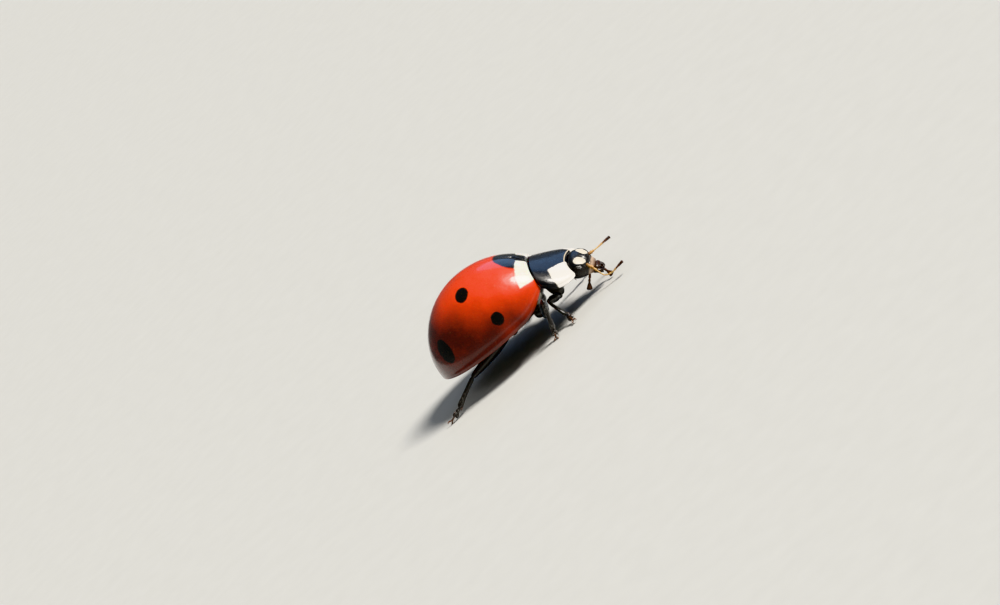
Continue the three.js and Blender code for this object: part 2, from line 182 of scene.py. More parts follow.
# ---------------------------------------------------------------- wing cases
# The two wing cases are domed shells of tanned chitin that meet in a straight seam down the back.
# Each one's outer edge is a narrow beaded rim, folded under into a flat strip along the belly.
WING_CASE = {
    "length": 6.0,
    "half_width": 2.75,
    "height": 2.8,
    "widest_at": 0.42,
    "highest_at": 0.48,
    "base_width": 0.6,
    "base_height": 0.54,
    "rear_width_power": 2.15,
    "rear_height_power": 1.95,
    "roundness": 2.1,
    "tip_drop": 0.18,
    "edge_bow": 0.05,
    "shoulder_lift": 0.5,
    "shoulder_reach": 0.22,
}
SHELL_THICKNESS = 0.12
SEAM_GAP = 0.008
LIP = 0.045  # radius of a shell's rounded edges
UNDERSIDE_STRIP = 0.5
SCUTELLUM = {"half_width": 0.25, "length": 0.42}


def power(value, exponent):
    return np.sign(value) * np.abs(value) ** exponent


def swell(t, peak, base, fall):
    """A profile along the body: an elliptic rise from its base value to 1, then a rounded fall to 0."""
    rise = 1 - ((peak - np.minimum(t, peak)) / (peak / np.sqrt(1 - base**2))) ** 2
    drop = 1 - ((np.maximum(t, peak) - peak) / (1 - peak)) ** fall
    return np.sqrt(np.clip(np.where(t < peak, rise, drop), 0, 1))


def dome_section(t, inset=0.0):
    """Half width, edge height and top height of the wing cases' dome, or of one set in from it."""
    w = WING_CASE
    wide = w["half_width"] - inset
    high = w["height"] - inset
    base_width = (w["half_width"] * w["base_width"] - inset) / wide
    base_height = (w["height"] * w["base_height"] - inset) / high
    shoulder = np.maximum(0, 1 - t / w["shoulder_reach"]) ** 2
    edge = w["shoulder_lift"] * shoulder - w["edge_bow"] * np.sin(np.pi * t) - w["tip_drop"] * t**2
    half_width = wide * swell(t, w["widest_at"], base_width, w["rear_width_power"])
    top = high * swell(t, w["highest_at"], base_height, w["rear_height_power"]) - w["tip_drop"] * t**2
    return half_width, edge, top


def dome_point(t, angle, inset=0.0):
    """A point of the dome: t runs from base to tip, angle from the seam (0) to the edge (90 degrees)."""
    half_width, edge, top = dome_section(t, inset)
    curve = 2 / WING_CASE["roundness"]
    up = np.maximum(0, np.cos(angle)) ** curve
    x = half_width * power(np.sin(angle), curve)
    return np.stack([x, t * (WING_CASE["length"] - inset), edge + (top - edge) * up], -1)


def rounding(distance, radius):
    """How far a surface sinks near an edge, at a distance from it, so that the edge is rounded."""
    near = np.clip(1 - distance / radius, 0, 1)
    return radius * (1 - np.sqrt(1 - near**2))


def turned_under(margin, side, width, rise):
    """Carries an edge round a small radius and on inwards as a flat strip of the given width."""
    steps = 8
    along = np.gradient(margin[:, :2], axis=0)
    along /= np.linalg.norm(along, axis=1, keepdims=True) + 1e-9
    inward = np.stack([-along[:, 1], along[:, 0], np.zeros(len(along))], 1) * side
    columns = []
    for angle in np.radians([25, 50, 75]):
        offset = LIP * (1 - math.cos(angle))
        columns.append(margin + inward * offset - [0, 0, LIP * math.sin(angle)])
    for step in range(steps + 1):
        reach = LIP + (width - LIP) * step / steps
        height = -LIP + rise * (step / steps) ** 1.5
        columns.append(margin + inward * reach[:, None] + np.array([0, 0, height]))
    return np.stack(columns, 1)


def between(outer, inner):
    """A closed body between two sheets of points on one grid, with walls round their four sides."""
    rows, columns = outer.shape[:2]
    points = np.concatenate([outer.reshape(-1, 3), inner.reshape(-1, 3)])
    near = np.arange(rows * columns).reshape(rows, columns)
    far = near + rows * columns
    strips = [
        (near[:-1, :-1], near[1:, :-1], near[1:, 1:], near[:-1, 1:]),
        (far[:-1, :-1], far[:-1, 1:], far[1:, 1:], far[1:, :-1]),
        (near[0, :-1], near[0, 1:], far[0, 1:], far[0, :-1]),
        (near[-1, :-1], far[-1, :-1], far[-1, 1:], near[-1, 1:]),
        (near[:-1, 0], far[:-1, 0], far[1:, 0], near[1:, 0]),
        (near[:-1, -1], near[1:, -1], far[1:, -1], far[:-1, -1]),
    ]
    faces = np.concatenate([np.stack(strip, -1).reshape(-1, 4) for strip in strips])
    return points, faces.tolist()


def make_piece(name, parts, material, nodes, at=None, attributes=None):
    """Makes one object from (points, faces) parts in millimetres, in a frame of its own, and lets it
    ride with the body in place of its solids."""
    points, faces, start = [], [], 0
    for part_points, part_faces in parts:
        points.append(np.asarray(part_points, float).reshape(-1, 3))
        faces += [[i + start for i in face] for face in part_faces]
        start += len(points[-1])
    mesh = bpy.data.meshes.new(name)
    mesh.from_pydata(np.concatenate(points).tolist(), [], faces)
    for key, values in (attributes or {}).items():
        layer = mesh.attributes.new(key, "FLOAT_VECTOR", "POINT")
        layer.data.foreach_set("vector", np.asarray(values, np.float32).ravel())
    sketch = bmesh.new()
    sketch.from_mesh(mesh)
    bmesh.ops.remove_doubles(sketch, verts=sketch.verts, dist=1e-4)
    bmesh.ops.dissolve_degenerate(sketch, edges=sketch.edges, dist=1e-5)
    bmesh.ops.recalc_face_normals(sketch, faces=sketch.faces)
    if sketch.calc_volume(signed=True) < 0:
        bmesh.ops.reverse_faces(sketch, faces=sketch.faces)
    for face in sketch.faces:
        face.smooth = True
    sketch.to_mesh(mesh)
    sketch.free()
    mesh.materials.append(material)
    piece = bpy.data.objects.new(name, mesh)
    piece.matrix_world = BODY @ (at or Matrix.Identity(4))
    scene.collection.objects.link(piece)
    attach(piece, "root")
    if nodes:
        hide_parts(*nodes)
    return piece


def under_scutellum(points):
    """How far a wing case is pressed in under the scutellum's triangle and the groove round it."""
    reach = SCUTELLUM["half_width"] * (1 - points[..., 1] / SCUTELLUM["length"]) + 0.02
    inside = np.clip((reach - np.abs(points[..., 0])) / 0.03, 0, 1)
    return 0.07 * inside * inside * (3 - 2 * inside)


def wing_case(side):
    """One wing case: the dome, its beaded rim and the strip turned under it, over a thin lining."""
    u = np.concatenate([np.linspace(0, 0.012, 5)[:-1], np.linspace(0.012, 1, 190)])
    seam_side = np.array([0, 0.15, 0.35, 0.6])
    angles = np.radians(np.concatenate([seam_side, np.linspace(0.9, 82, 74), np.linspace(83, 90, 10)]))
    t, angle = np.meshgrid(np.sin(u * np.pi / 2), angles, indexing="ij")
    lip = rounding(t * WING_CASE["length"], LIP)
    outer = dome_point(t, angle, lip)
    seam = rounding(outer[..., 0], LIP)
    bead = 0.03 * np.exp(-(((np.degrees(angle) - 88.5) / 2.0) ** 2)) * np.minimum(1, 6 * (1 - t))
    outer[..., 2] -= seam + under_scutellum(outer)
    outer[..., 0] += bead + SEAM_GAP / 2
    inner = dome_point(t, angle, SHELL_THICKNESS)
    inner[..., 0] += SEAM_GAP / 2
    inner[..., 2] -= under_scutellum(outer)
    tip = np.minimum(1, (1 - t[:, 0]) * 8)
    width = np.minimum(UNDERSIDE_STRIP * (1 - 0.3 * t[:, 0]), 0.85 * outer[:, -1, 0]) * np.maximum(tip, 0.3)
    strip = turned_under(outer[:, -1], 1, width + LIP, 0.06)
    strip[..., 0] = np.maximum(strip[..., 0], SEAM_GAP / 2)
    lining = strip + np.array([0, 0, 0.05])
    outer = np.concatenate([outer, strip], 1)
    inner = np.concatenate([inner, lining], 1)
    flip = np.array([side, 1, 1])
    return between(outer * flip, inner * flip)


# Tanned chitin with a waxy gloss: orange-red carotenoid pigment under a clear cuticle with fine
# punctures and hair-thin scratches; black melanin spots sunk in it. The red darkens towards the lower
# rear: partly pigment that deepens towards the edges, partly painted shade of a light from the upper
# front. The eye gets a wet-looking sheet of light over a colour with depth, a little broken where it
# crosses pores and wear. The punctures are drawn coarser than real, so that they show.
SPOTS = (  # place along and round the dome, half width across the body, half width along it
    (0.459, 32.0, 0.39, 0.32),
    (0.338, 72.0, 0.3, 0.27),
    (0.801, 61.0, 0.58, 0.40),
)
SCUTELLAR_SPOT = {"centre": (0, 0.36, 0), "across": 1.12, "along": 0.76}
# The white patch's inner, rear and lower edges: a direction towards its middle, and where along that
# direction the edge lies.
WHITE_PATCH = (
    ((1.0, -0.14, 0.0), 0.34),
    ((0.21, -1.0, 0.0), -0.22),
    ((0.0, -0.3, 1.0), 0.88),
)
PUNCTURE_SPACING = 0.075


def wandering(tree, place, reach, noise):
    """A place shifted a little by a noise, so that the edge of a mark laid out from it wanders."""
    wobble = add(tree, "TexNoise", {"Vector": place, **noise})
    wobble = add(tree, "VectorMath", {0: wobble.outputs["Color"], 1: (0.5, 0.5, 0.5)}, operation="SUBTRACT")
    wobble = add(tree, "VectorMath", {0: wobble, "Scale": reach}, operation="SCALE")
    return add(tree, "VectorMath", {0: place, 1: wobble}, operation="ADD")


def from_oval(tree, place, centre, turn, size):
    """How far a place is from an oval's middle, where 1 is the oval's edge."""
    axes = {"Vector": place, "Location": centre, "Rotation": turn, "Scale": size}
    return add(
        tree, "VectorMath", {0: add(tree, "Mapping", axes, vector_type="TEXTURE")}, operation="LENGTH"
    )


wing_red, tree, skin, place = new_material("glossy_orange_red_chitin")
mirrored = add(tree, "VectorMath", {0: place}, operation="ABSOLUTE")
uneven = wandering(tree, mirrored, 0.09, {"Scale": 3.0, "Detail": 3.0, "Roughness": 0.6})

# Painted shade, partly real pigment: the red is brightest at the top front and darkens to a brownish red
# towards the lower rear, as if lit from the upper front.
height = add(tree, "SeparateXYZ", {"Vector": place})
painted_shade_height = add(tree, "Math", {0: height.outputs["Y"], 1: -0.45, 2: 1.0}, operation="MULTIPLY_ADD")
painted_shade_height = add(tree, "Math", {0: height.outputs["Z"], 1: painted_shade_height}, operation="ADD")
pale = add(tree, "MapRange", {"Value": painted_shade_height, "From Min": 0.25, "From Max": 2.25}, **SMOOTH)
cloud = add(tree, "TexNoise", {"Vector": place, "Scale": 0.9, "Detail": 4.0, "Roughness": 0.55})
cloud = add(
    tree, "MapRange", {"Value": cloud, "From Min": 0.3, "From Max": 0.7, "To Min": -0.16, "To Max": 0.16}
)
pale = add(tree, "Math", {0: pale, 1: cloud}, operation="ADD", use_clamp=True)
red = add(tree, "Mix", {"Factor": pale, "A": "#5F1404", "B": "#FF4602"}, data_type="RGBA")
grain = add(tree, "TexNoise", {"Vector": place, "Scale": 14.0, "Detail": 5.0, "Roughness": 0.7})
grain = add(
    tree, "MapRange", {"Value": grain, "From Min": 0.25, "From Max": 0.75, "To Min": 0.86, "To Max": 1.08}
)
red = add(tree, "Mix", {"Factor": 1.0, "A": red, "B": grain}, data_type="RGBA", blend_type="MULTIPLY")


def spot_frame(t, degrees):
    """The middle of a spot on the dome, and the turn that lays its own x across and y along there."""
    step = 1e-3
    angle = math.radians(degrees)
    places = ((t, angle), (t + step, angle), (t, angle + step))
    centre, ahead, round_ = (Vector(dome_point(np.array(a), np.array(b))) for a, b in places)
    along = (ahead - centre).normalized()
    outward = (round_ - centre).cross(along).normalized()
    across = along.cross(outward)
    return centre, Matrix((across, along, outward)).transposed().to_euler()


white = None
for inward, least in WHITE_PATCH:
    inside = add(tree, "VectorMath", {0: uneven, 1: inward}, operation="DOT_PRODUCT")
    inside = add(tree, "Math", {0: inside, 1: least}, operation="SUBTRACT")
    white = inside if white is None else add(tree, "Math", {0: white, 1: inside}, operation="MINIMUM")

black = None
spots = [(*spot_frame(t, degrees), (across, along, 2.0)) for t, degrees, across, along in SPOTS]
spots.append(
    (Vector(SCUTELLAR_SPOT["centre"]), Euler(), (SCUTELLAR_SPOT["across"], SCUTELLAR_SPOT["along"], 9.0))
)
for centre, turn, size in spots:
    away = from_oval(tree, uneven, centre, turn, size)
    black = away if black is None else add(tree, "Math", {0: black, 1: away}, operation="MINIMUM")
black = add(
    tree,
    "MapRange",
    {"Value": black, "From Min": 0.93, "From Max": 1.06, "To Min": 1.0, "To Max": 0.0},
    **SMOOTH,
)
white = add(tree, "MapRange", {"Value": white, "From Min": 0.0, "From Max": 0.07}, **SMOOTH)
colour = add(tree, "Mix", {"Factor": black, "A": red, "B": "#0B0807"}, data_type="RGBA")
colour = add(tree, "Mix", {"Factor": white, "A": colour, "B": "#FAF6EC"}, data_type="RGBA")
pits = add(tree, "TexVoronoi", {"Vector": place, "Scale": 1 / PUNCTURE_SPACING, "Randomness": 0.8})
pits = add(
    tree, "MapRange", {"Value": pits.outputs["Distance"], "From Min": 0.05, "From Max": 0.28}, **SMOOTH
)
stretched = add(tree, "Mapping", {"Vector": place, "Rotation": (0.4, 0.9, 0.3), "Scale": (0.7, 9.0, 9.0)})
scratch = add(tree, "TexNoise", {"Vector": stretched, "Scale": 2.0, "Detail": 2.0, "Distortion": 0.4})
scratch = add(tree, "MapRange", {"Value": scratch, "From Min": 0.66, "From Max": 0.72}, **SMOOTH)
unspotted = add(tree, "MapRange", {"Value": black, "To Min": 0.14, "To Max": 0.02})
worn = add(tree, "Math", {0: scratch, 1: unspotted}, operation="MULTIPLY")
colour = add(tree, "Mix", {"Factor": worn, "A": colour, "B": "#E8B48C"}, data_type="RGBA")
dents = add(tree, "TexNoise", {"Vector": place, "Scale": 1.6, "Detail": 2.0})
rough = add(
    tree, "MapRange", {"Value": grain, "From Min": 0.86, "From Max": 1.08, "To Min": 0.34, "To Max": 0.24}
)
rough = add(tree, "Math", {0: scratch, 1: 0.25, 2: rough}, operation="MULTIPLY_ADD")
waves = add(tree, "Bump", {"Height": dents, "Strength": 0.5, "Distance": 0.05 * MM})
pores = add(tree, "Bump", {"Height": pits, "Strength": 0.35, "Distance": 0.006 * MM, "Normal": waves})
give(
    tree,
    skin,
    {
        "Base Color": colour,
        "Roughness": rough,
        "Normal": pores,
        "IOR": 1.56,
        "Coat Weight": 0.9,
        "Coat Roughness": 0.08,
        "Coat IOR": 1.5,
        "Subsurface Weight": 0.15,
        "Subsurface Radius": (1.0, 0.25, 0.08),
        "Subsurface Scale": 0.25 * MM,
    },
)


def seam_tongue():
    """The thin tongue of the left case that fits in a groove of the right one, under the seam."""
    t, x = np.meshgrid(np.linspace(0.08, 0.998, 90), np.array([-0.03, 0.0, 0.03]), indexing="ij")
    top, bottom = (dome_point(t, 0 * t, inset) for inset in (0.06, 0.09))
    top[..., 0], bottom[..., 0] = x, x
    return between(top, bottom)


make_piece("wing_case_right", [wing_case(-1)], wing_red, ["elytron_right"])
make_piece("wing_case_left", [wing_case(1), seam_tongue()], wing_red, ["elytron_left"])

# ---------------------------------------------------------------- scutellum
# A small triangular plate of the back, let in between the wing cases' bases and a hair proud of them.


def dome_height(x, y):
    half_width, edge, top = dome_section(y / WING_CASE["length"])
    across = 1 - np.abs(x / half_width) ** WING_CASE["roundness"]
    return edge + (top - edge) * np.maximum(0, across) ** (1 / WING_CASE["roundness"])


def smoothed(distance):
    return distance * distance * (3 - 2 * distance)


along, across = np.meshgrid(np.linspace(0, 1, 30), np.linspace(-1, 1, 41), indexing="ij")
x = SCUTELLUM["half_width"] * (1 - 0.97 * along) * across
y = SCUTELLUM["length"] * along
rim_distance = np.minimum((1 - np.abs(across)) * (1 - along) * SCUTELLUM["half_width"], y + 0.01)
plate = np.stack([x, y, dome_height(x, y) + 0.016 - rounding(rim_distance, 0.03)], -1)
plate[..., 2] -= 0.012 * np.exp(-((x / 0.05) ** 2)) * smoothed(np.clip(along * 3, 0, 1))


def black_film(tree, place, noise, shades, roughness):
    """Black chitin under a thin film of wax that is thicker in places: film, colour and roughness."""
    film = add(tree, "TexNoise", {"Vector": place, **noise})
    black = add(tree, "Mix", {"Factor": film, "A": shades[0], "B": shades[1]}, data_type="RGBA")
    ends = {"From Min": 0.3, "From Max": 0.7, "To Min": roughness[0], "To Max": roughness[1]}
    return film, black, add(tree, "MapRange", {"Value": film, **ends})


def waxed(tree, skin, colour, rough, relief, coat, coat_rough, ior=1.56):
    """Gives a surface its colour and relief under a layer of wax, which is clear and a little soft."""
    give(tree, skin, {"Base Color": colour, "Roughness": rough, "Normal": relief, "IOR": ior})
    give(tree, skin, {"Coat Weight": coat, "Coat Roughness": coat_rough})


def net_and_pits(tree, place, net, pits):
    """The relief of a hard plate: a net of cells (cells per mm, width of a line, strength) with pores
    sunk in it (pores per mm, where their slope ends, strength, depth in mm)."""
    cells = add(tree, "TexVoronoi", {"Vector": place, "Scale": net[0]}, feature="DISTANCE_TO_EDGE")
    cells = add(tree, "MapRange", {"Value": cells, "From Max": net[1]}, **SMOOTH)
    pores = add(tree, "TexVoronoi", {"Vector": place, "Scale": pits[0], "Randomness": 0.9})
    slope = {"Value": pores, "From Min": 0.08, "From Max": pits[1]}
    pores = add(tree, "MapRange", slope, **SMOOTH)
    fine = add(tree, "Bump", {"Height": cells, "Strength": net[2], "Distance": 0.003 * MM})
    return add(
        tree, "Bump", {"Height": pores, "Strength": pits[2], "Distance": pits[3] * MM, "Normal": fine}
    )


# Black melanised chitin, hardened in the air and waxed: the eye gets a deep black with a soft bright
# streak. The net of cells and the pores are drawn coarser than real, here and on the plates below.
black_plate, tree, skin, place = new_material("glossy_black_chitin")
_, colour, rough = black_film(
    tree, place, {"Scale": 2.5, "Detail": 4.0}, ("#050507", "#101117"), (0.26, 0.38)
)
pores = net_and_pits(tree, place, (38.0, 0.1, 0.25), (15.0, 0.3, 0.5, 0.008))
waxed(tree, skin, colour, rough, pores, 0.4, 0.15)
make_piece(
    "scutellum_plate", [between(plate, plate - [0, 0, 0.2])], black_plate, ["scutellum"]
)

# ---------------------------------------------------------------- neck shield
# The pronotum: one convex plate of black chitin over the first body ring, turned a little towards
# its right. Its sides are beaded and turned under, and each front corner carries an ivory patch.
SHIELD = {
    "length": 1.26,
    "corner_lead": 0.2,
    "half_width": 1.88,
    "widest_at": 0.3,
    "reach": 0.92,
    "rear_height": 1.38,
    "slope": 0.77,
    "curve": 0.16,
    "rear_edge": 0.5,
    "edge_slope": 0.85,
    "edge_curve": 0.4,
    "thickness": 0.42,
    "belly_depth": 0.44,
    "yaw": math.radians(-6),
    "roll": math.radians(-6),
    "pivot_height": 0.6,
}


def turned_forward(points, v):
    """Turns the front body about its hinge with the hind body, in full at its front edge."""
    x, y, z = points[..., 0], points[..., 1], points[..., 2] - SHIELD["pivot_height"]
    lean, turn = SHIELD["roll"] * v, SHIELD["yaw"] * v
    x, z = x * np.cos(lean) + z * np.sin(lean), z * np.cos(lean) - x * np.sin(lean)
    x, y = x * np.cos(turn) - y * np.sin(turn), x * np.sin(turn) + y * np.cos(turn)
    return np.stack([x, y, z + SHIELD["pivot_height"]], -1)


def shield_edge(v):
    return SHIELD["rear_edge"] - SHIELD["edge_slope"] * v + SHIELD["edge_curve"] * v**2


def front_body_point(v, angle, inset, height):
    """A point of a cross-section of the front body: v runs from its rear edge to its front edge."""
    half_width = SHIELD["half_width"] * np.sqrt(1 - ((v - SHIELD["widest_at"]) / SHIELD["reach"]) ** 2)
    side = np.sin(angle) ** 2
    x = (half_width - inset) * np.sin(angle)
    y = -0.04 - SHIELD["length"] * v - side * (0.04 + SHIELD["corner_lead"] * v**2)
    return np.stack([x, y, shield_edge(v) + height * np.maximum(0, np.cos(angle))], -1)


def shield_height(v, inset=0.0):
    return SHIELD["rear_height"] - SHIELD["slope"] * v - SHIELD["curve"] * v**2 - inset - shield_edge(v)


# Degrees that the marks' midline is turned round the shield at its rear, and how much more in front.
MARKING_TURN = (7.0, 10.0)
v, degrees = np.meshgrid(np.linspace(0, 1, 110), np.linspace(-90, 90, 181), indexing="ij")
angle = np.radians(degrees)
edge_distance = np.minimum(v, 1 - v) * SHIELD["length"]
flat = front_body_point(
    v, angle, rounding(edge_distance, 0.05), shield_height(v, rounding(edge_distance, 0.05))
)
side_bead = 0.03 * np.exp(-(((90 - np.abs(degrees)) / 2.2) ** 2))
side_bead = side_bead - 0.015 * np.exp(-(((83 - np.abs(degrees)) / 2.5) ** 2))
flat[..., 0] += side_bead * np.sign(degrees)
shield = turned_forward(flat, v)
lining = turned_forward(front_body_point(v, angle, 0.14, shield_height(v, 0.14)), v)
under = SHIELD["thickness"] * np.minimum(1, 0.35 + 2.5 * (1 - v[:, 0]))
right_strip = turned_under(shield[:, 0], 1, under, 0.05)[:, ::-1]
left_strip = turned_under(shield[:, -1], -1, under, 0.05)
outer = np.concatenate([right_strip, shield, left_strip], 1)
inner = np.concatenate([right_strip + [0, 0, 0.06], lining, left_strip + [0, 0, 0.06]], 1)
wide = np.concatenate(
    [np.full(right_strip.shape[:2], -90.0), degrees, np.full(left_strip.shape[:2], 90.0)], 1
)
deep = np.broadcast_to(v[:, :1], wide.shape)
chart = np.stack([np.abs(wide - MARKING_TURN[0] - MARKING_TURN[1] * deep) / 90, deep, np.sign(wide)], -1)

PATCH_REAR = 0.47  # the patch's rear edge, as a share of the shield's length
PATCH_INNER = (0.497, 0.332)  # its inner edge, as a share of the way down the side, at its rear and front

# The same black chitin, unpigmented in the corners, where the white tissue below shows through clear
# cuticle: the eye gets one unbroken gloss over black and ivory, with a soft edge between the two.
shield_skin, tree, skin, place = new_material("black_chitin_with_ivory_corners")
chart_place = add(tree, "Attribute", attribute_name="chart").outputs["Vector"]
wobble = add(tree, "TexNoise", {"Vector": place, "Scale": 4.0, "Detail": 3.0})
wobble = add(tree, "MapRange", {"Value": wobble, "To Min": -0.05, "To Max": 0.05})
spread = add(tree, "SeparateXYZ", {"Vector": chart_place})
slant = (PATCH_INNER[0] - PATCH_INNER[1]) / (0.92 - PATCH_REAR)
from_rear = add(tree, "Math", {0: spread.outputs["Y"], 1: PATCH_REAR}, operation="SUBTRACT")
inner_edge = add(tree, "Math", {0: from_rear, 1: slant, 2: spread.outputs["X"]}, operation="MULTIPLY_ADD")
from_inner = add(tree, "Math", {0: inner_edge, 1: PATCH_INNER[0]}, operation="SUBTRACT")
from_inner = add(tree, "Math", {0: from_inner, 1: 1.5}, operation="MULTIPLY")
patch = add(tree, "Math", {0: from_rear, 1: from_inner, 2: 0.08}, operation="SMOOTH_MIN")
patch = add(tree, "Math", {0: patch, 1: wobble}, operation="ADD")
fringe = add(tree, "Math", {0: spread.outputs["Y"], 1: 0.972, 2: 0.012}, operation="COMPARE")
patch = add(tree, "MapRange", {"Value": patch, "From Min": -0.01, "From Max": 0.05}, **SMOOTH)
near_head = add(
    tree, "MapRange", {"Value": spread.outputs["X"], "From Min": 0.5, "From Max": 0.35}, **SMOOTH
)
fringe = add(tree, "Math", {0: fringe, 1: near_head}, operation="MULTIPLY")
pale = add(tree, "Math", {0: patch, 1: fringe}, operation="MAXIMUM")
ivory = add(tree, "Mix", {"Factor": patch, "A": "#CDBFA6", "B": "#FAF7F2"}, data_type="RGBA")
_, black, rough = black_film(
    tree, place, {"Scale": 2.5, "Detail": 4.0}, ("#050507", "#101117"), (0.24, 0.36)
)
colour = add(tree, "Mix", {"Factor": pale, "A": black, "B": ivory}, data_type="RGBA")
pores = net_and_pits(tree, place, (34.0, 0.1, 0.25), (14.0, 0.3, 0.35, 0.008))
waxed(tree, skin, colour, rough, pores, 0.5, 0.12)
charts = np.concatenate([chart.reshape(-1, 3), chart.reshape(-1, 3)])
make_piece(
    "neck_shield", [between(outer, inner)], shield_skin, ["pronotum"],
    attributes={"chart": charts},
)

# ---------------------------------------------------------------- breast and trunk
# Under the neck shield and the wing cases the body is closed by black plates: the front breast, the
# middle and hind breast with their pale side plates, and the belly's six overlapping rings.
TRUNK_INSET = 0.53
BREAST_END = 2.2
BELLY_DEPTH = 0.38
BELLY_ROUNDNESS = 1.6
BELLY_RINGS = (2.22, 3.3, 3.9, 4.42, 4.88, 5.24, 5.6)
OVERLAP = 0.04


def drawn_through(rings):
    """A closed body through rings of points, its two ends closed at the middle of the end rings."""
    rows, columns = rings.shape[:2]
    points = np.concatenate([rings.reshape(-1, 3), [rings[0].mean(0), rings[-1].mean(0)]])
    here = np.arange(rows * columns).reshape(rows, columns)
    beside = np.roll(here, -1, 1)
    sides = np.stack([here[:-1], beside[:-1], beside[1:], here[1:]], -1).reshape(-1, 4)
    start = [[rows * columns, b, a] for a, b in zip(here[0], beside[0])]
    end = [[rows * columns + 1, a, b] for a, b in zip(here[-1], beside[-1])]
    return points, sides.tolist() + start + end


def trunk(from_y, to_y, count, relief):
    """Rings of the trunk from one place along it to another; relief raises the underside's plates."""
    y = np.linspace(from_y, to_y, count)
    round_ = np.radians(np.linspace(-180, 180, 145)[:-1])
    t = (y / (WING_CASE["length"] - TRUNK_INSET))[:, None]
    half_width, edge, top = dome_section(t, TRUNK_INSET)
    front = smoothed(np.clip((y + 1.2) / 2.1, 0, 1))
    rear = np.sqrt(np.maximum(0, 1 - (np.maximum(0, y - BREAST_END) / 3.9) ** 2.2))
    depth = (BELLY_DEPTH * front * rear)[:, None]
    up = np.cos(round_)[None]
    x = half_width * power(np.sin(round_), 2 / WING_CASE["roundness"])
    over = (top - edge) * np.maximum(0, up) ** (2 / WING_CASE["roundness"])
    under = depth * np.maximum(0, -up) ** (2 / BELLY_ROUNDNESS)
    below = smoothed(np.clip(-up * 4, 0, 1))
    z = edge + over - under - below * relief(x, y[:, None])
    return np.stack([x, np.broadcast_to(y[:, None], x.shape), z], -1)


def breast_relief(x, y):
    """The hind breast's plate, its midline furrow, and the seams of the side plates."""
    side_seam = np.exp(-(((np.abs(x) - 1.75 + 0.1 * y) / 0.03) ** 2))
    midline = np.exp(-((x / 0.025) ** 2)) * (y > 1.15)
    cross_seam = np.exp(-(((y - 1.0 - 0.12 * np.abs(x)) / 0.03) ** 2))
    plate = 0.04 * smoothed(np.clip((y - 1.05) / 0.5, 0, 1)) * (np.abs(x) < 1.7)
    return plate - 0.03 * side_seam - 0.025 * midline - 0.03 * cross_seam


def belly_relief(x, y):
    """Each ring of the belly rises to its hind edge and overlaps the next one there."""
    place = y + 0.05 * x**2
    rise = np.zeros(np.broadcast_shapes(x.shape, y.shape))
    for start, end in zip(BELLY_RINGS, BELLY_RINGS[1:]):
        part = np.clip((place - start) / (end - start), 0, 1)
        rise += np.where(part < 1, OVERLAP * np.minimum(part**0.6, (1 - part) * 14), 0)
    return rise + 0.02 * np.exp(-(((np.abs(x) - 1.45 + 0.06 * y) / 0.04) ** 2))


def folded_over(tree, place):
    """A place on the animal's right moved to its mirror place on the left, so that both match."""
    mirrored = add(tree, "VectorMath", {0: place, 1: (-1, 1, 1)}, operation="MULTIPLY")
    return add(tree, "VectorMath", {0: place, 1: mirrored}, operation="MAXIMUM")


# Thinner black chitin, less waxed and finely scaled, with a pale unpigmented plate at each side: the
# eye gets a soft satin instead of a mirror. The scales are drawn coarser than real.
belly_skin, tree, skin, place = new_material("satin_black_chitin")
_, black, rough = black_film(
    tree, place, {"Scale": 3.0, "Detail": 5.0}, ("#070605", "#17120E"), (0.38, 0.52)
)
side_plate = from_oval(tree, folded_over(tree, place), (1.5, 0.34, 0.0), (0.0, 0.0, 0.0), (0.5, 0.26, 0.42))
side_plate = add(tree, "MapRange", {"Value": side_plate, "From Min": 1.0, "From Max": 0.85}, **SMOOTH)
colour = add(tree, "Mix", {"Factor": side_plate, "A": black, "B": "#E9E2D2"}, data_type="RGBA")
scales = add(tree, "TexVoronoi", {"Vector": place, "Scale": 22.0}, feature="DISTANCE_TO_EDGE")
scales = add(tree, "MapRange", {"Value": scales, "From Max": 0.14}, **SMOOTH)
fine = add(tree, "Bump", {"Height": scales, "Strength": 0.5, "Distance": 0.008 * MM})
waxed(tree, skin, colour, rough, fine, 0.15, 0.3, 1.55)
breast = trunk(0.0, BREAST_END, 110, breast_relief)
belly = trunk(BREAST_END, WING_CASE["length"] - TRUNK_INSET - 0.005, 190, belly_relief)
make_piece("hind_breast", [drawn_through(breast)], belly_skin, ["pterothorax"])
make_piece("belly", [drawn_through(belly)], belly_skin, ["abdomen"])

v, degrees = np.meshgrid(np.linspace(0, 1, 60), np.linspace(-90, 90, 121), indexing="ij")
angle = np.radians(degrees)
breast_inset = SHIELD["thickness"] + 0.02
roof = turned_forward(front_body_point(v, angle, breast_inset, shield_height(v, breast_inset)), v)
depth = shield_edge(v) + SHIELD["belly_depth"] * (1 - v / 2)
keel = 0.05 * np.exp(-((degrees / 9) ** 2)) - 0.03 * np.exp(-(((np.abs(degrees) - 14) / 3) ** 2))
keel -= 0.03 * np.exp(-(((np.abs(degrees) - 48) / 3) ** 2))
floor_plate = turned_forward(front_body_point(v, angle, breast_inset, -depth - keel * np.sin(np.pi * v)), v)
make_piece("front_breast", [between(roof, floor_plate)], belly_skin, ["prothorax"])

# A sleeve of thin dark skin, folded out of sight, joins the front body to the hind body.
sleeve = trunk(-0.14, 0.12, 30, lambda x, y: 0.03 * np.sin(y * 60) + 0 * x)
sleeve = sleeve * [0.86, 1, 0.86] + [0, 0, 0.1]
make_piece("waist_skin", [drawn_through(sleeve)], belly_skin, [])
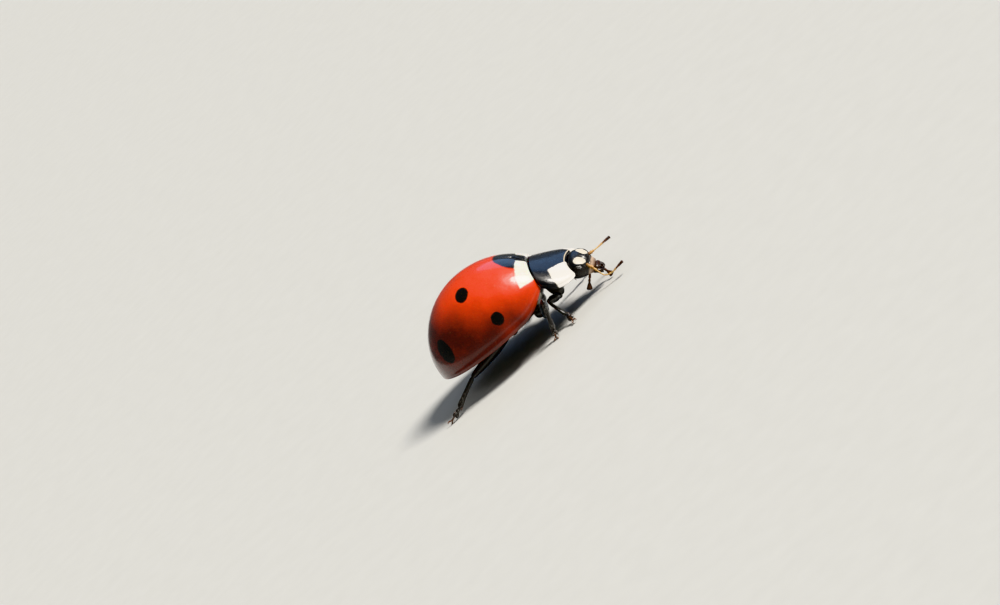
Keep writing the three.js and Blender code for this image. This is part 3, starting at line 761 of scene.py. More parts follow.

# ---------------------------------------------------------------- head
# A broad flat capsule of black chitin, drawn into the neck shield and turned to its right: a pale
# spot beside each eye, a clypeus painted pale and mottled over brown as a painted reflection, and a
# lip and jaws under it.
HEAD_PLACE = (-0.04, -1.62, -0.15)
HEAD_TURN = [math.radians(degrees) for degrees in (-45, -7, -14)]
HEAD = Matrix.Translation(HEAD_PLACE) @ Euler(HEAD_TURN).to_matrix().to_4x4()
HEAD_OUTLINE = (  # half width, half depth and height, from the crown down to the clypeus's edge
    (0.02, 0.02, 0.56),
    (0.58, 0.36, 0.47),
    (0.82, 0.46, 0.2),
    (0.82, 0.45, -0.05),
    (0.62, 0.38, -0.32),
    (0.44, 0.3, -0.48),
    (0.36, 0.2, -0.62),
    (0.02, 0.02, -0.66),
)
EYE_PLACE = (0.66, -0.06, 0.0)
EYE_RADII = (0.22, 0.26, 0.3)
FEELER_SOCKET = (0.4, -0.26, -0.3)
# The face spots are drawn larger than the real ones, so that they take in the glare round them: partly real
# pale spot, partly painted highlight.
FACE_SPOT = {"centre": (0.385, -0.42, 0.02), "size": (0.22, 0.34, 0.28)}


def smooth_through(rows, count):
    """Evenly spread places on a smooth curve through rows of numbers."""
    rows = np.asarray(rows, float)
    padded = np.concatenate([rows[:1], rows, rows[-1:]])
    u = np.linspace(0, len(rows) - 1, count)
    i = np.minimum(u.astype(int), len(rows) - 2)
    f = (u - i)[:, None]
    a, b, c, d = (padded[i + k] for k in range(4))
    return 0.5 * (2 * b + (c - a) * f + (2 * a - 5 * b + 4 * c - d) * f**2 + (3 * b - a - 3 * c + d) * f**3)


def folded(points):
    """Points on the right side of the face moved to their mirror places on the left."""
    return np.abs(points) * [1, 0, 0] + points * [0, 1, 1]


def near(points, place, radius):
    """A bell round a place and round its mirror place on the other side of the face."""
    return np.exp(-((folded(points) - place) ** 2).sum(-1) / radius**2)


outline = smooth_through(HEAD_OUTLINE, 120)
round_ = np.radians(np.linspace(-180, 180, 161)[:-1])
width, depth, height = (outline[:, i : i + 1] for i in range(3))
capsule = np.stack(
    [
        width * power(np.sin(round_), 0.9),
        -depth * power(np.cos(round_), 0.8),
        np.broadcast_to(height, (120, 160)),
    ],
    -1,
)
face = smoothed(np.clip(np.cos(round_) * 2.5, 0, 1))[None]
clypeus_seam = np.exp(-(((height + 0.4 - 0.25 * capsule[..., :1][..., 0] ** 2) / 0.025) ** 2)) * face
brow = 0.035 * near(capsule, (0.42, -0.3, -0.16), 0.12) + 0.03 * near(capsule, (0.0, -0.45, -0.2), 0.16)
socket = 0.09 * near(capsule, FEELER_SOCKET, 0.09)
hollow = 0.03 * near(capsule, (0.2, -0.45, -0.08), 0.14)
eye_distance = np.linalg.norm((folded(capsule) - EYE_PLACE) / EYE_RADII, axis=-1)
eye_rim = 0.03 * np.exp(-(((eye_distance - 1.12) / 0.1) ** 2)) * face
capsule[..., 1] -= face * (brow - socket - hollow) - 0.02 * clypeus_seam + eye_rim

# Black chitin as on the neck shield, unpigmented in the face spots; the clypeus is painted pale cream
# and mottled over brown horn, a painted reflection of sky light on its gloss: the eye gets a dark
# pitted gloss with two clean pale spots over a duller, mottled lower rim.
head_skin, tree, skin, place = new_material("black_chitin_of_the_head")
uneven = wandering(tree, folded_over(tree, place), 0.08, {"Scale": 9.0, "Detail": 2.0})
spot = from_oval(tree, uneven, FACE_SPOT["centre"], (0, 0.35, 0), FACE_SPOT["size"])
spot = add(tree, "MapRange", {"Value": spot, "From Min": 1.05, "From Max": 0.85}, **SMOOTH)
split = add(tree, "SeparateXYZ", {"Vector": place})
brown = add(tree, "MapRange", {"Value": split.outputs["Z"], "From Min": -0.39, "From Max": -0.47}, **SMOOTH)
lower = add(tree, "MapRange", {"Value": split.outputs["Z"], "From Min": -0.5, "From Max": -0.64}, **SMOOTH)
film, black, rough = black_film(
    tree, place, {"Scale": 5.0, "Detail": 4.0}, ("#060507", "#131216"), (0.26, 0.4)
)
# Painted reflection: the clypeus is pale cream above and brown below, mottled, standing in for sky light on
# glossy black chitin.
clypeus_brown_and_painted_reflection = add(tree, "Mix", {"Factor": lower, "A": "#D8BFA8", "B": "#785038"}, data_type="RGBA")
mottled = add(tree, "Mix", {"Factor": film, "A": "#FFFFFF", "B": "#8C7565"}, data_type="RGBA")
clypeus_brown_and_painted_reflection = add(tree, "Mix", {"Factor": 1.0, "A": clypeus_brown_and_painted_reflection, "B": mottled}, data_type="RGBA", blend_type="MULTIPLY")
black = add(tree, "Mix", {"Factor": brown, "A": black, "B": clypeus_brown_and_painted_reflection}, data_type="RGBA")
colour = add(tree, "Mix", {"Factor": spot, "A": black, "B": "#F4ECDD"}, data_type="RGBA")
pores = net_and_pits(tree, place, (45.0, 0.12, 0.3), (17.0, 0.34, 0.7, 0.01))
waxed(tree, skin, colour, rough, pores, 0.4, 0.15)
make_piece("head_capsule", [drawn_through(capsule)], head_skin, ["head"], HEAD)

# ---------------------------------------------------------------- eyes
# Compound eyes: black domes of hundreds of six-sided lenses, each lens a low blister of clear
# cuticle over dark pigment. The lenses are drawn about twice their real 0.02 mm so that they show.
EYE_SPLITS = 3  # times the eye's twenty faces are split in four


def compound_eye(side):
    sketch = bmesh.new()
    bmesh.ops.create_icosphere(sketch, subdivisions=EYE_SPLITS + 1, radius=1)
    centres = {face: face.calc_center_median().normalized() for face in sketch.faces}
    points, faces = [], []
    for vertex in sketch.verts:
        ring = sorted(
            (centres[face] for face in vertex.link_faces),
            key=lambda c: math.atan2(
                (c - vertex.co).dot(vertex.co.orthogonal().normalized()),
                (c - vertex.co).dot(vertex.co.cross(vertex.co.orthogonal()).normalized()),
            ),
        )
        top = vertex.co.normalized()
        for share, rise in ((1.0, 1.0), (0.86, 1.006), (0.5, 1.018)):
            points += [(top.lerp(corner, share)).normalized() * rise for corner in ring]
        points.append(top * 1.022)
        count, start = len(ring), len(points) - 3 * len(ring) - 1
        for level in range(2):
            for i in range(count):
                a, b = start + level * count + i, start + level * count + (i + 1) % count
                faces.append([a, b, b + count, a + count])
        faces += [
            [start + 2 * count + i, start + 2 * count + (i + 1) % count, start + 3 * count]
            for i in range(count)
        ]
    sketch.free()
    points = np.array([tuple(p) for p in points]) * EYE_RADII
    return points + np.array(EYE_PLACE) * [side, 1, 1], faces


# Clear lens cuticle over dark pigment: the eye gets a near-black dome that sparkles lens by lens.
eye_skin, tree, skin, place = new_material("compound_eye_cuticle")
depth = add(tree, "TexNoise", {"Vector": place, "Scale": 6.0, "Detail": 3.0})
colour = add(tree, "Mix", {"Factor": depth, "A": "#040405", "B": "#1C1513"}, data_type="RGBA")
lens = add(tree, "TexVoronoi", {"Vector": place, "Scale": 30.0})
rough = add(tree, "MapRange", {"Value": lens, "From Max": 0.6, "To Min": 0.16, "To Max": 0.34})
bulge = add(tree, "Bump", {"Height": lens, "Strength": 0.2, "Distance": -0.004 * MM})
waxed(tree, skin, colour, rough, bulge, 0.6, 0.1, 1.5)
for word, side in (("right", -1), ("left", 1)):
    make_piece("compound_eye_" + word, [compound_eye(side)], eye_skin, ["eye_" + word], HEAD)

# ---------------------------------------------------------------- lip, jaws and lower mouthparts
# Small plates of dark brown horn under the clypeus: the lip, two curved biting jaws behind it, and
# the lower lip with its pair of short three-jointed palps.
JAW_PATH = (
    (0.2, 0.06, -0.68), (0.27, 0.05, -0.8), (0.22, 0.03, -0.93), (0.09, 0.02, -1.0), (0.02, 0.01, -0.99)
)


def along_path(path, radii, sides=20, count=40, flatness=1.0, wide_axis=None):
    """A closed tube along a smooth path whose radius follows the given ones, flattened if asked."""
    line = smooth_through(path, count)
    if wide_axis is None:
        wide_axis = np.eye(3)[np.argmin(np.abs(line[-1] - line[0]))]
    radius = smooth_through(np.reshape(radii, (-1, 1)), count)[:, 0]
    ahead = np.gradient(line, axis=0)
    ahead /= np.linalg.norm(ahead, axis=1, keepdims=True)
    across = np.cross(ahead, wide_axis)
    across /= np.linalg.norm(across, axis=1, keepdims=True)
    other = np.cross(ahead, across)
    round_ = np.radians(np.linspace(0, 360, sides + 1)[:-1])
    ring = across[:, None] * np.cos(round_)[:, None] + other[:, None] * np.sin(round_)[:, None] * flatness
    return drawn_through(line[:, None] + ring * np.maximum(radius, 1e-3)[:, None, None])


def blister(radii, centre, squareness=1.0, count=36):
    """A closed rounded body: squareness under 1 makes its outline fuller than an ellipsoid's."""
    down = np.linspace(0.5, 179.5, count)[:, None]
    round_ = np.radians(np.linspace(0, 360, 2 * count + 1)[:-1])[None]
    level = power(np.sin(np.radians(down)), squareness)
    x = level * power(np.cos(round_), squareness)
    y = level * power(np.sin(round_), squareness)
    z = power(np.cos(np.radians(down)), squareness) + 0 * round_
    return drawn_through(np.stack([x, y, z], -1) * radii + np.array(centre))


def fine_scales(tree, place, per_mm, strength, depth, over=None):
    """The low scales of thin horn, drawn coarser than real, over another relief if one is given."""
    scales = add(tree, "TexVoronoi", {"Vector": place, "Scale": per_mm}, feature="DISTANCE_TO_EDGE")
    relief = {"Height": scales, "Strength": strength, "Distance": depth * MM}
    return add(tree, "Bump", relief | ({"Normal": over} if over else {}))


# Heavily tanned chitin, darkest at the biting tips: the eye gets brown horn that glows a little where
# it is thin, with a gloss that comes and goes.
horn, tree, skin, place = new_material("dark_brown_horn")
film = add(tree, "TexNoise", {"Vector": place, "Scale": 8.0, "Detail": 4.0})
tips = add(tree, "SeparateXYZ", {"Vector": place})
tips = add(tree, "MapRange", {"Value": tips.outputs["Z"], "From Min": -0.7, "From Max": -0.95})
tone = add(tree, "Math", {0: tips, 1: 0.6, 2: film}, operation="MULTIPLY_ADD", use_clamp=True)
colour = add(tree, "Mix", {"Factor": tone, "A": "#54331F", "B": "#1C0E0B"}, data_type="RGBA")
fine = fine_scales(tree, place, 30.0, 0.4, 0.005)
rough = add(tree, "MapRange", {"Value": film, "To Min": 0.25, "To Max": 0.45})
give(
    tree, skin,
    {
        "Base Color": colour, "Roughness": rough, "Normal": fine, "IOR": 1.56, "Subsurface Weight": 0.1,
        "Subsurface Scale": 0.05 * MM,
    },
)

lip = [
    blister((0.28, 0.1, 0.12), (0, -0.07, -0.73), 0.75), blister((0.2, 0.05, 0.035), (0, -0.1, -0.835), 0.8)
]
make_piece("upper_lip", lip, horn, ["labrum"], HEAD)
for word, side in (("right", -1), ("left", 1)):
    path = np.array(JAW_PATH) * [side, 1, 1]
    tooth = [path[3] + [0, 0.03, 0.04], path[4] + [0, 0.035, 0.05]]
    jaw = [
        along_path(path, (0.11, 0.12, 0.09, 0.05, 0.008), flatness=0.8),
        along_path(tooth, (0.035, 0.006), count=12),
    ]
    make_piece("jaw_" + word, jaw, horn, ["mandible_" + word], HEAD)
lower_lip = [blister((0.24, 0.1, 0.14), (0, 0.17, -0.66), 0.8)]
for side in (-1, 1):
    joints = np.array([(0.1, 0.16, -0.76), (0.15, 0.17, -0.86), (0.17, 0.15, -0.95), (0.17, 0.12, -1.03)])
    joints = joints * [side, 1, 1]
    for start, end, thick in zip(joints, joints[1:], (0.035, 0.045, 0.04)):
        middle = (start + end) / 2
        lower_lip.append(along_path((start, middle, end), (0.6 * thick, thick, 0.5 * thick), 14, 14))
make_piece("lower_lip", lower_lip, horn, [], HEAD)

# ---------------------------------------------------------------- feelers and palps
# Each feeler has eleven joints of yellowish-brown horn: a thick first one, a short second, a slim
# string of six and a dark flat club of three. The palps end in a broad hatchet-shaped joint.
FEELER_PATHS = {
    "antenna_right": {
        "stalk": (
            (-0.5, -1.92, -0.25), (-0.65, -2.07, -0.54), (-0.84, -2.25, -0.97), (-0.92, -2.56, -1.07),
            (-0.9, -2.84, -1.04),
        ),
        "tip": (-0.9, -3.24, -0.98),
    },
    "antenna_left": {
        "stalk": ((0.36, -2.12, -0.14), (0.55, -2.42, -0.2), (0.8, -2.74, -0.24)),
        "tip": (0.98, -3.14, -0.27),
    },
}
PALP_PATHS = {
    "palp_right": {
        "stalk": ((-0.25, -1.8, -0.6), (-0.32, -1.6, -0.8), (-0.37, -1.48, -0.92)),
        "tip": (-0.44, -1.28, -1.19),
    },
    "palp_left": {
        "stalk": ((0.32, -2.0, -0.66), (0.3, -2.16, -0.88), (0.02, -2.28, -1.1)),
        "tip": (-0.28, -2.42, -1.32),
    },
}
STALK_JOINTS = (
    (1.9, 0.075), (1.1, 0.055), (1.35, 0.034), (1.0, 0.033), (1.0, 0.034), (1.0, 0.036), (0.9, 0.04),
    (0.9, 0.046),
)
CLUB_JOINTS = ((0.95, 0.062), (0.9, 0.085), (1.1, 0.094))  # length share, radius


def points_along(path, shares):
    """Places at the given shares of a path's length."""
    line = smooth_through(path, 200)
    steps = np.linalg.norm(np.diff(line, axis=0), axis=1)
    gone = np.concatenate([[0], np.cumsum(steps)]) / steps.sum()
    return np.stack([np.interp(shares, gone, line[:, i]) for i in range(3)], -1)


def joint_profile(start, end, radius, base, flatness):
    """One joint: narrow at its base, thickest near its far end, and cut off square with a round rim."""
    shares = np.array([0.0, 0.06, 0.2, 0.45, 0.8, 0.95, 1.02])[:, None]
    radii = radius * np.array([base * 0.6, base, 0.5 + base / 2, 0.86, 1.0, 0.82, 0.3])
    return along_path(start + (end - start) * shares, radii, 20, 28, flatness, (0, 0, 1))


def strung(path, joints, base=0.66, flatness=1.0):
    """Joints strung along a path, each with its share of the length and its radius."""
    shares = np.concatenate([[0], np.cumsum([length for length, _ in joints])])
    ends = points_along(path, shares / shares[-1])
    return [joint_profile(a, b, r, base, flatness) for a, b, (_, r) in zip(ends, ends[1:], joints)]


def coloured_along(tree, film, unevenness, shades):
    """A limb's colours from its root to its tip, made a little uneven by the film on it."""
    share = add(
        tree, "SeparateXYZ", {"Vector": add(tree, "Attribute", attribute_name="chart").outputs["Vector"]}
    )
    ends = {"From Min": 0.3, "From Max": 0.7, "To Min": -unevenness, "To Max": unevenness}
    mottle = add(tree, "MapRange", {"Value": film, **ends})
    along = add(tree, "Math", {0: share.outputs["X"], 1: mottle}, operation="ADD", use_clamp=True)
    ramp = add(tree, "ValToRGB", {0: along})
    stops = ramp.color_ramp.elements
    stops[0].color = linear(shades[0][1])
    stops[1].color = linear(shades[-1][1])
    for position, hex_colour in shades[1:-1]:
        stops.new(position).color = linear(hex_colour)
    return ramp


# Lightly tanned chitin, clear enough for light to pass, and dark only in the club: the eye gets warm
# amber joints, brighter at their rims, that end in a dull brown tip.
FEELER_SHADES = (
    (0, "#7E5229"), (0.1, "#C89A5A"), (0.3, "#E2C68C"), (0.6, "#D2AC6E"), (0.78, "#6E3A1E"), (1, "#2A1710")
)
feeler_horn, tree, skin, place = new_material("yellow_brown_horn")
film = add(tree, "TexNoise", {"Vector": place, "Scale": 7.0, "Detail": 4.0})
ramp = coloured_along(tree, film, 0.08, FEELER_SHADES)
fine = fine_scales(tree, place, 26.0, 0.5, 0.006)
rough = add(tree, "MapRange", {"Value": film, "To Min": 0.32, "To Max": 0.5})
give(
    tree,
    skin,
    {
        "Base Color": ramp,
        "Roughness": rough,
        "Normal": fine,
        "IOR": 1.55,
        "Subsurface Weight": 0.4,
        "Subsurface Radius": (1.0, 0.6, 0.3),
        "Subsurface Scale": 0.06 * MM,
    },
)


def charted(parts, shares):
    """The chart of joined parts: how far along the whole limb each part stands."""
    rows = [np.tile([share, 0, 0], (len(points), 1)) for (points, _), share in zip(parts, shares)]
    return {"chart": np.concatenate(rows)}


def make_horn(name, parts, shares, node):
    make_piece(name, parts, feeler_horn, [node], attributes=charted(parts, shares))


for name, path in FEELER_PATHS.items():
    stalk = strung(path["stalk"], STALK_JOINTS)
    socket = blister((0.08, 0.08, 0.07), path["stalk"][0])
    shares = [0.02, *np.linspace(0.08, 0.62, len(stalk))]
    make_horn(name + "_joints", [socket, *stalk], shares, name + "_stalk")
    club = strung(
        (path["stalk"][-1], np.mean([path["stalk"][-1], path["tip"]], 0), path["tip"]), CLUB_JOINTS, 0.85,
        0.7,
    )
    make_horn(name + "_club", club, (0.78, 0.88, 0.97), name + "_tip")

for name, path in PALP_PATHS.items():
    stalk = strung(path["stalk"], ((0.7, 0.05), (1.2, 0.06), (0.9, 0.058)))
    make_horn(name + "_joints", stalk, (0.78, 0.84, 0.88), name + "_stalk")
    start, end = np.array(path["stalk"][-1]), np.array(path["tip"])
    shares = np.array([0, 0.2, 0.4, 0.6, 0.8, 0.93, 1.0])[:, None]
    line = start + (end - start) * shares + np.array([0.05, 0.01, 0]) * shares**2
    hatchet = along_path(line, (0.04, 0.062, 0.088, 0.11, 0.124, 0.118, 0.07), 24, 36, 0.5, (1, 0.2, 0.1))
    make_horn(name + "_hatchet", [hatchet], (0.94,), name + "_tip")

# ---------------------------------------------------------------- legs
# Each leg is a coxa seated in the breast with a small trochanter, a spindle-shaped femur grooved for
# the shin, a slim tibia with two spurs, and a foot: two padded joints, a claw joint and two claws.
GROUND = -STANDING_HEIGHT
FLOOR_GAP = 0.002  # what stands on the floor stays this far above it
TOE = GROUND + 0.08
STEEP_TOE = GROUND + 0.02
LEG_PAIRS = {  # the left coxa's middle and radii, how slim the leg is, how dense its hairs are
    "front": ((0.45, -0.28, -0.3), (0.24, 0.25, 0.3), 0.8, 1),
    # The middle pair has twice the pale hairs, so that its shins look silvery: the extra hairs are a painted
    # reflection of sky light.
    "middle": ((0.85, 0.85, -0.46), (0.3, 0.27, 0.26), 1.0, 2),
    "hind": ((0.95, 2.2, -0.33), (0.45, 0.22, 0.22), 1.0, 1),
}
LEGS = {  # hip, knee, ankle and toe
    "front_right": ((-0.62, -0.18, -0.5), (-1.4, 0.19, -0.24), (-1.82, -0.12, -1.05), (-2.35, -0.32, TOE)),
    "front_left": ((0.62, -0.3, -0.5), (1.65, -0.3, -0.25), (2.25, -0.62, -1.0), (2.85, -1.0, TOE)),
    "middle_right": ((-1.0, 0.72, -0.7), (-2.5, 0.1, 0.2), (-2.5, 0.56, -1.02), (-2.62, 0.7, STEEP_TOE)),
    "middle_left": ((1.0, 0.9, -0.64), (2.55, 1.35, -0.3), (3.05, 1.9, -1.0), (3.45, 2.35, TOE)),
    "hind_right": ((-0.9, 2.42, -0.37), (-2.1, 4.6, -0.58), (-2.7, 5.74, -1.1), (-2.9, 6.41, TOE)),
    "hind_left": ((0.9, 2.42, -0.37), (2.5, 3.6, -0.52), (3.05, 4.75, -1.06), (3.3, 5.4, TOE)),
}
LEG_HAIRS = {"thigh": 60, "shin": 150, "foot": 80}
FEMUR = (
    (0.0, 0.09, 0.08), (0.1, 0.16, 0.14), (0.35, 0.225, 0.185), (0.62, 0.22, 0.185), (0.86, 0.16, 0.14),
    (0.97, 0.12, 0.1), (1.02, 0.03, 0.03),
)
TIBIA = (
    (0.0, 0.03, 0.03), (0.03, 0.08, 0.07), (0.12, 0.095, 0.075), (0.4, 0.095, 0.08), (0.75, 0.115, 0.09),
    (0.93, 0.13, 0.1), (1.0, 0.06, 0.06),
)
LIMB_SIDES = 36


def limb_frame(start, end, beside):
    """A limb piece's own frame: y along it, x towards the third point, z across its plane."""
    start, end, beside = Vector(start), Vector(end), Vector(beside)
    y = (end - start).normalized()
    z = (beside - start).cross(y).normalized()
    return Matrix.Translation(start) @ Matrix((y.cross(z), y, z)).transposed().to_4x4(), (end - start).length


def limb(length, stations, bow=0.0, groove=0.0):
    """A closed limb piece through (share of length, half width, half depth) stations."""
    shape = smooth_through(stations, 90)
    round_ = np.radians(np.linspace(0, 360, LIMB_SIDES + 1)[:-1])
    along, wide, deep = (shape[:, i : i + 1] for i in range(3))
    furrow = groove * smoothed(np.clip((along - 0.35) * 2.5, 0, 1))
    furrow = furrow * np.exp(-((np.sin(round_) / 0.35) ** 2)) * (np.cos(round_) > 0)
    x = np.maximum(wide, 0.004) * np.cos(round_) * (1 - furrow) + bow * np.sin(np.pi * along)
    z = np.maximum(deep, 0.004) * np.sin(round_)
    return drawn_through(np.stack([x, along * length + 0 * x, z], -1))


def foot(length):
    """Two padded joints, the claw joint that springs from between their lobes, and the claws."""
    first = along_path(
        ((0, -0.02, 0), (0, 0.1 * length, 0), (-0.005, 0.24 * length, 0), (-0.02, 0.36 * length, 0)),
        (0.04, 0.06, 0.1, 0.07), 24, 30, 0.62, (1, 0, 0),
    )
    parts = [first]
    for side in (-1, 1):
        parts.append(
            along_path(
                (
                    (-0.005, 0.3 * length, 0.02 * side), (-0.02, 0.42 * length, 0.06 * side),
                    (-0.05, 0.6 * length, 0.09 * side),
                ),
                (0.05, 0.085, 0.04), 20, 30, 0.6, (1, 0, 0),
            )
        )
    parts.append(
        along_path(
            (
                (0, 0.4 * length, 0), (0.03, 0.6 * length, 0), (0.03, 0.78 * length, 0),
                (0.0, 0.9 * length, 0),
            ),
            (0.03, 0.035, 0.045, 0.04), 18, 30,
        )
    )
    for side in (-1, 1):
        claw = (
            (0.01, 0.86 * length, 0.02 * side), (0.06, 0.96 * length, 0.07 * side),
            (0.06, 1.07 * length, 0.1 * side), (0.01, 1.14 * length, 0.1 * side),
        )
        parts.append(along_path(claw, (0.03, 0.032, 0.02, 0.004), 14, 26))
        heel = ((0.04, 0.93 * length, 0.05 * side), (0.0, 0.99 * length, 0.07 * side))
        parts.append(along_path(heel, (0.026, 0.005), 12, 12))
    return parts


def set_down(parts, at):
    """Presses what would sink into the ground flat on it: pads and claw tips bend where they stand."""
    axes, origin = np.array(at.to_3x3()), np.array(at.translation)
    stood = []
    for points, faces in parts:
        body = points @ axes.T + origin
        body[:, 2] = np.maximum(body[:, 2], GROUND + FLOOR_GAP)
        stood.append(((body - origin) @ axes, faces))
    return stood


# Tanned black chitin, browner towards the feet, ringed and finely scaled: the eye gets a satin black
# with a cool bloom at its edges, where light catches down too fine to see.
LEG_SHADES = ((0, "#060505"), (0.6, "#150E0B"), (1, "#7A4A28"))
leg_skin, tree, skin, place = new_material("satin_black_leg_chitin")
film = add(tree, "TexNoise", {"Vector": place, "Scale": 6.0, "Detail": 4.0})
ramp = coloured_along(tree, film, 0.06, LEG_SHADES)
rings = add(
    tree, "TexWave", {"Vector": place, "Scale": 5.0, "Distortion": 2.0, "Detail": 2.0}, bands_direction="Y"
)
coarse = add(tree, "Bump", {"Height": rings, "Strength": 0.15, "Distance": 0.006 * MM})
fine = fine_scales(tree, place, 24.0, 0.5, 0.007, coarse)
rough = add(tree, "MapRange", {"Value": film, "To Min": 0.24, "To Max": 0.4})
waxed(tree, skin, ramp, rough, fine, 0.6, 0.16)
give(tree, skin, {"Sheen Weight": 0.5, "Sheen Roughness": 0.3, "Sheen Tint": "#CCD8EA"})


def make_limb(name, parts, shares, node, at):
    make_piece(name, parts, leg_skin, [node], at, charted(parts, shares))


FOOT_GROWTH = ((0, 0.05, 0.06), (0.3, 0.07, 0.11), (0.6, 0.05, 0.12), (0.9, 0.04, 0.04))
roots = []  # where the hairs of the legs grow: frame, length, stations and how many
for leg, (hip, knee, ankle, toe) in LEGS.items():
    node = "leg_" + leg
    pair, side_word = leg.split("_")
    (out, back_, up), radii, slim, density = LEG_PAIRS[pair]
    socket = (-out if side_word == "right" else out, back_, up)
    trochanter = along_path(
        (Vector(socket).lerp(Vector(hip), 0.55), hip, Vector(hip).lerp(Vector(knee), 0.1)),
        (0.12, 0.15, 0.1), 24, 30,
    )
    make_limb(node + "_hip", [blister(radii, socket, 0.92), trochanter], (0.1, 0.2), node + "_coxa", None)
    at, length = limb_frame(hip, knee, ankle)
    femur = [(y, x * slim, z * slim) for y, x, z in FEMUR]
    make_limb(node + "_thigh", [limb(length, femur, groove=0.35)], (0.1,), node + "_femur", at)
    roots.append((at, length, femur, LEG_HAIRS["thigh"] * density))
    at, length = limb_frame(knee, ankle, hip)
    tibia = [(y, x * slim, z * slim) for y, x, z in TIBIA]
    shin = [limb(length, tibia, bow=-0.02)]
    for side in (-1, 1):
        spur = (
            (0.06, 0.95 * length, 0.04 * side), (0.09, length + 0.03, 0.07 * side),
            (0.1, length + 0.11, 0.08 * side),
        )
        shin.append(along_path(spur, (0.02, 0.014, 0.003), 10, 14))
    make_limb(node + "_shin", shin, (0.35, 0.8, 0.8), node + "_tibia", at)
    roots.append((at, length, tibia, LEG_HAIRS["shin"] * density))
    at, length = limb_frame(ankle, toe, knee)
    make_limb(
        node + "_foot", set_down(foot(length), at), (0.55, 0.6, 0.6, 0.8, 0.95, 0.95, 0.95, 0.95),
        node + "_tarsus", at,
    )
    roots.append((at, length, FOOT_GROWTH, LEG_HAIRS["foot"] * density))

# ---------------------------------------------------------------- hairs
# Short fine hairs lie towards the tips of the legs and towards the tail on the belly: tapered horn
# bristles, pale grey, each curved in to lie close. They are drawn a little thick so that they show.
HAIR_SIDES = 3
HAIR_RINGS = 4
HAIR_LENGTHS = (0.05, 0.1)
LEG_HAIR_RADIUS = 0.005
BELLY_HAIR_RADIUS = 0.004
BREAST_HAIRS = 1100
BELLY_HAIRS = 2000
PATCH = 0.003  # one hair's patch on the skin's unwrap
BARE_ROWS = 3  # at each end of a trunk piece
UNDERSIDE = 72  # columns of a trunk piece that face down
random = np.random.default_rng(7)


def hair_mesh(roots, outward, lie, lengths, thickness, places):
    """Joined bristles: points, faces and, for each point, its hair's place on the unwrap."""
    steps = np.linspace(0, 1, HAIR_RINGS)
    rise = np.sin(steps * np.pi * 0.45) * 0.45
    path = outward[:, None] * rise[:, None] + lie[:, None] * (steps**1.2)[:, None]
    path = roots[:, None] + path * lengths[:, None, None]
    across = np.cross(outward, lie)
    across /= np.linalg.norm(across, axis=1, keepdims=True)
    round_ = np.radians(np.arange(HAIR_SIDES) * 360 / HAIR_SIDES)
    taper = (thickness * (1 - 0.85 * steps))[None, :, None, None]
    ring = across[:, None, None] * np.cos(round_)[:, None] + outward[:, None, None] * np.sin(round_)[:, None]
    points = path[:, :, None] + ring * taper
    sunk = GROUND + FLOOR_GAP - points[..., 2].min(axis=(1, 2))
    points[..., 2] += np.maximum(sunk, 0)[:, None, None]
    count, size = len(roots), HAIR_RINGS * HAIR_SIDES
    one = np.arange(size).reshape(HAIR_RINGS, HAIR_SIDES)
    beside = np.roll(one, -1, 1)
    quads = np.stack([one[:-1], beside[:-1], beside[1:], one[1:]], -1).reshape(-1, 4)
    starts = (np.arange(count) * size)[:, None, None]
    faces = (quads[None] + starts).reshape(-1, 4).tolist()
    faces += (one[0][::-1][None] + starts[:, 0]).tolist() + (one[-1][None] + starts[:, 0]).tolist()
    round_hair = np.tile(np.arange(HAIR_SIDES) / HAIR_SIDES, HAIR_RINGS)
    patch = np.stack([round_hair, np.repeat(steps, HAIR_SIDES)], -1) * PATCH
    return points.reshape(-1, 3), faces, (places[:, None] + patch[None]).reshape(-1, 2)


def make_coat(name, bunches, material):
    """One object of many hairs, with each hair's patch of the unwrap in its OFBake map."""
    parts, maps = [], []
    for points, faces, places in bunches:
        parts.append((points, faces))
        maps.append(places)
    coat = make_piece(
        name, parts, material, [], attributes={"chart": np.pad(np.concatenate(maps), ((0, 0), (0, 1)))}
    )
    loops = np.zeros(len(coat.data.loops), np.int32)
    coat.data.loops.foreach_get("vertex_index", loops)
    places = np.zeros(len(coat.data.vertices) * 3, np.float32)
    coat.data.attributes["chart"].data.foreach_get("vector", places)
    layer = coat.data.uv_layers.new(name="OFBake")
    layer.data.foreach_set("uv", places.reshape(-1, 3)[loops, :2].ravel())


# Clear, hardly tanned horn drawn out to a point: the eye gets a pale grey glint along each bristle.
hair_horn, tree, skin, place = new_material("pale_grey_bristle")
film = add(tree, "TexNoise", {"Vector": place, "Scale": 3.0, "Detail": 2.0})
colour = add(tree, "Mix", {"Factor": film, "A": "#827F79", "B": "#CCCCC8"}, data_type="RGBA")
give(tree, skin, {"Base Color": colour, "Roughness": 0.4, "IOR": 1.55})

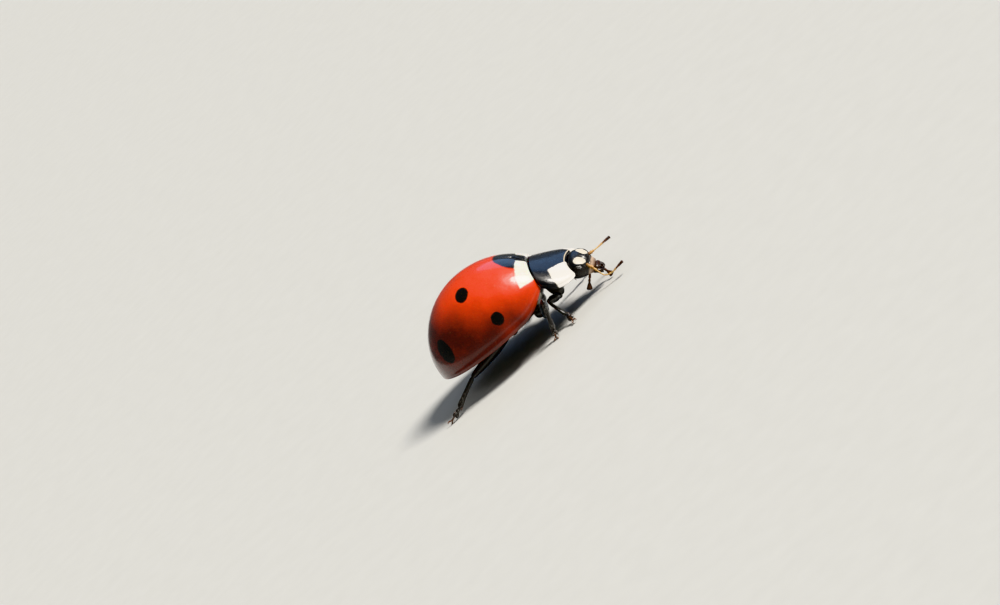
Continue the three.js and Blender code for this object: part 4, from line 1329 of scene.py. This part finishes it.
bunches = []
for tile, (at, length, stations, count) in enumerate(roots):
    shares = random.uniform(0.08, 0.97, count)
    turns = random.uniform(0, 2 * np.pi, count)
    stations = np.array(stations)
    wide, deep = (np.interp(shares, stations[:, 0], stations[:, i]) for i in (1, 2))
    local = np.stack([wide * np.cos(turns), shares * length, deep * np.sin(turns)], -1)
    outward = np.stack([np.cos(turns) / wide, 0 * turns, np.sin(turns) / deep], -1)
    outward /= np.linalg.norm(outward, axis=1, keepdims=True)
    frame_axes = np.array(at.to_3x3())
    spots = local @ frame_axes.T + np.array(at.translation)
    lie = np.tile(frame_axes[:, 1], (count, 1)) + random.normal(0, 0.15, (count, 3))
    places = np.stack([(tile % 6 + turns / (2 * np.pi) * 0.95) / 6, (tile // 6 + shares * 0.95) / 3], -1)
    bunches.append(
        hair_mesh(
            spots, outward @ frame_axes.T, lie, random.uniform(*HAIR_LENGTHS, count), LEG_HAIR_RADIUS, places
        )
    )
make_coat("leg_hairs", bunches, hair_horn)

bunches = []
for tile, (rings, count) in enumerate(((breast, BREAST_HAIRS), (belly, BELLY_HAIRS))):
    rows, columns = rings.shape[:2]
    root = random.choice((rows - 2 * BARE_ROWS) * UNDERSIDE, count, replace=False)
    row, column = BARE_ROWS + root // UNDERSIDE, (columns // 2 + UNDERSIDE // 2 + root % UNDERSIDE) % columns
    spots = rings[row, column]
    ahead = rings[row + 1, column] - rings[row - 1, column]
    ahead /= np.linalg.norm(ahead, axis=1, keepdims=True)
    round_way = rings[row, (column + 1) % columns] - rings[row, column - 1]
    outward = np.cross(ahead, round_way)
    outward /= np.linalg.norm(outward, axis=1, keepdims=True)
    outward *= np.where(outward[:, 2:] > 0, -1, 1)
    lie = ahead + random.normal(0, 0.12, (count, 3))
    places = np.stack([(tile + column / columns * 0.95) / 2, row / rows * 0.95], -1)
    bunches.append(
        hair_mesh(spots, outward, lie, random.uniform(*HAIR_LENGTHS, count), BELLY_HAIR_RADIUS, places)
    )
make_coat("belly_hairs", bunches, hair_horn)
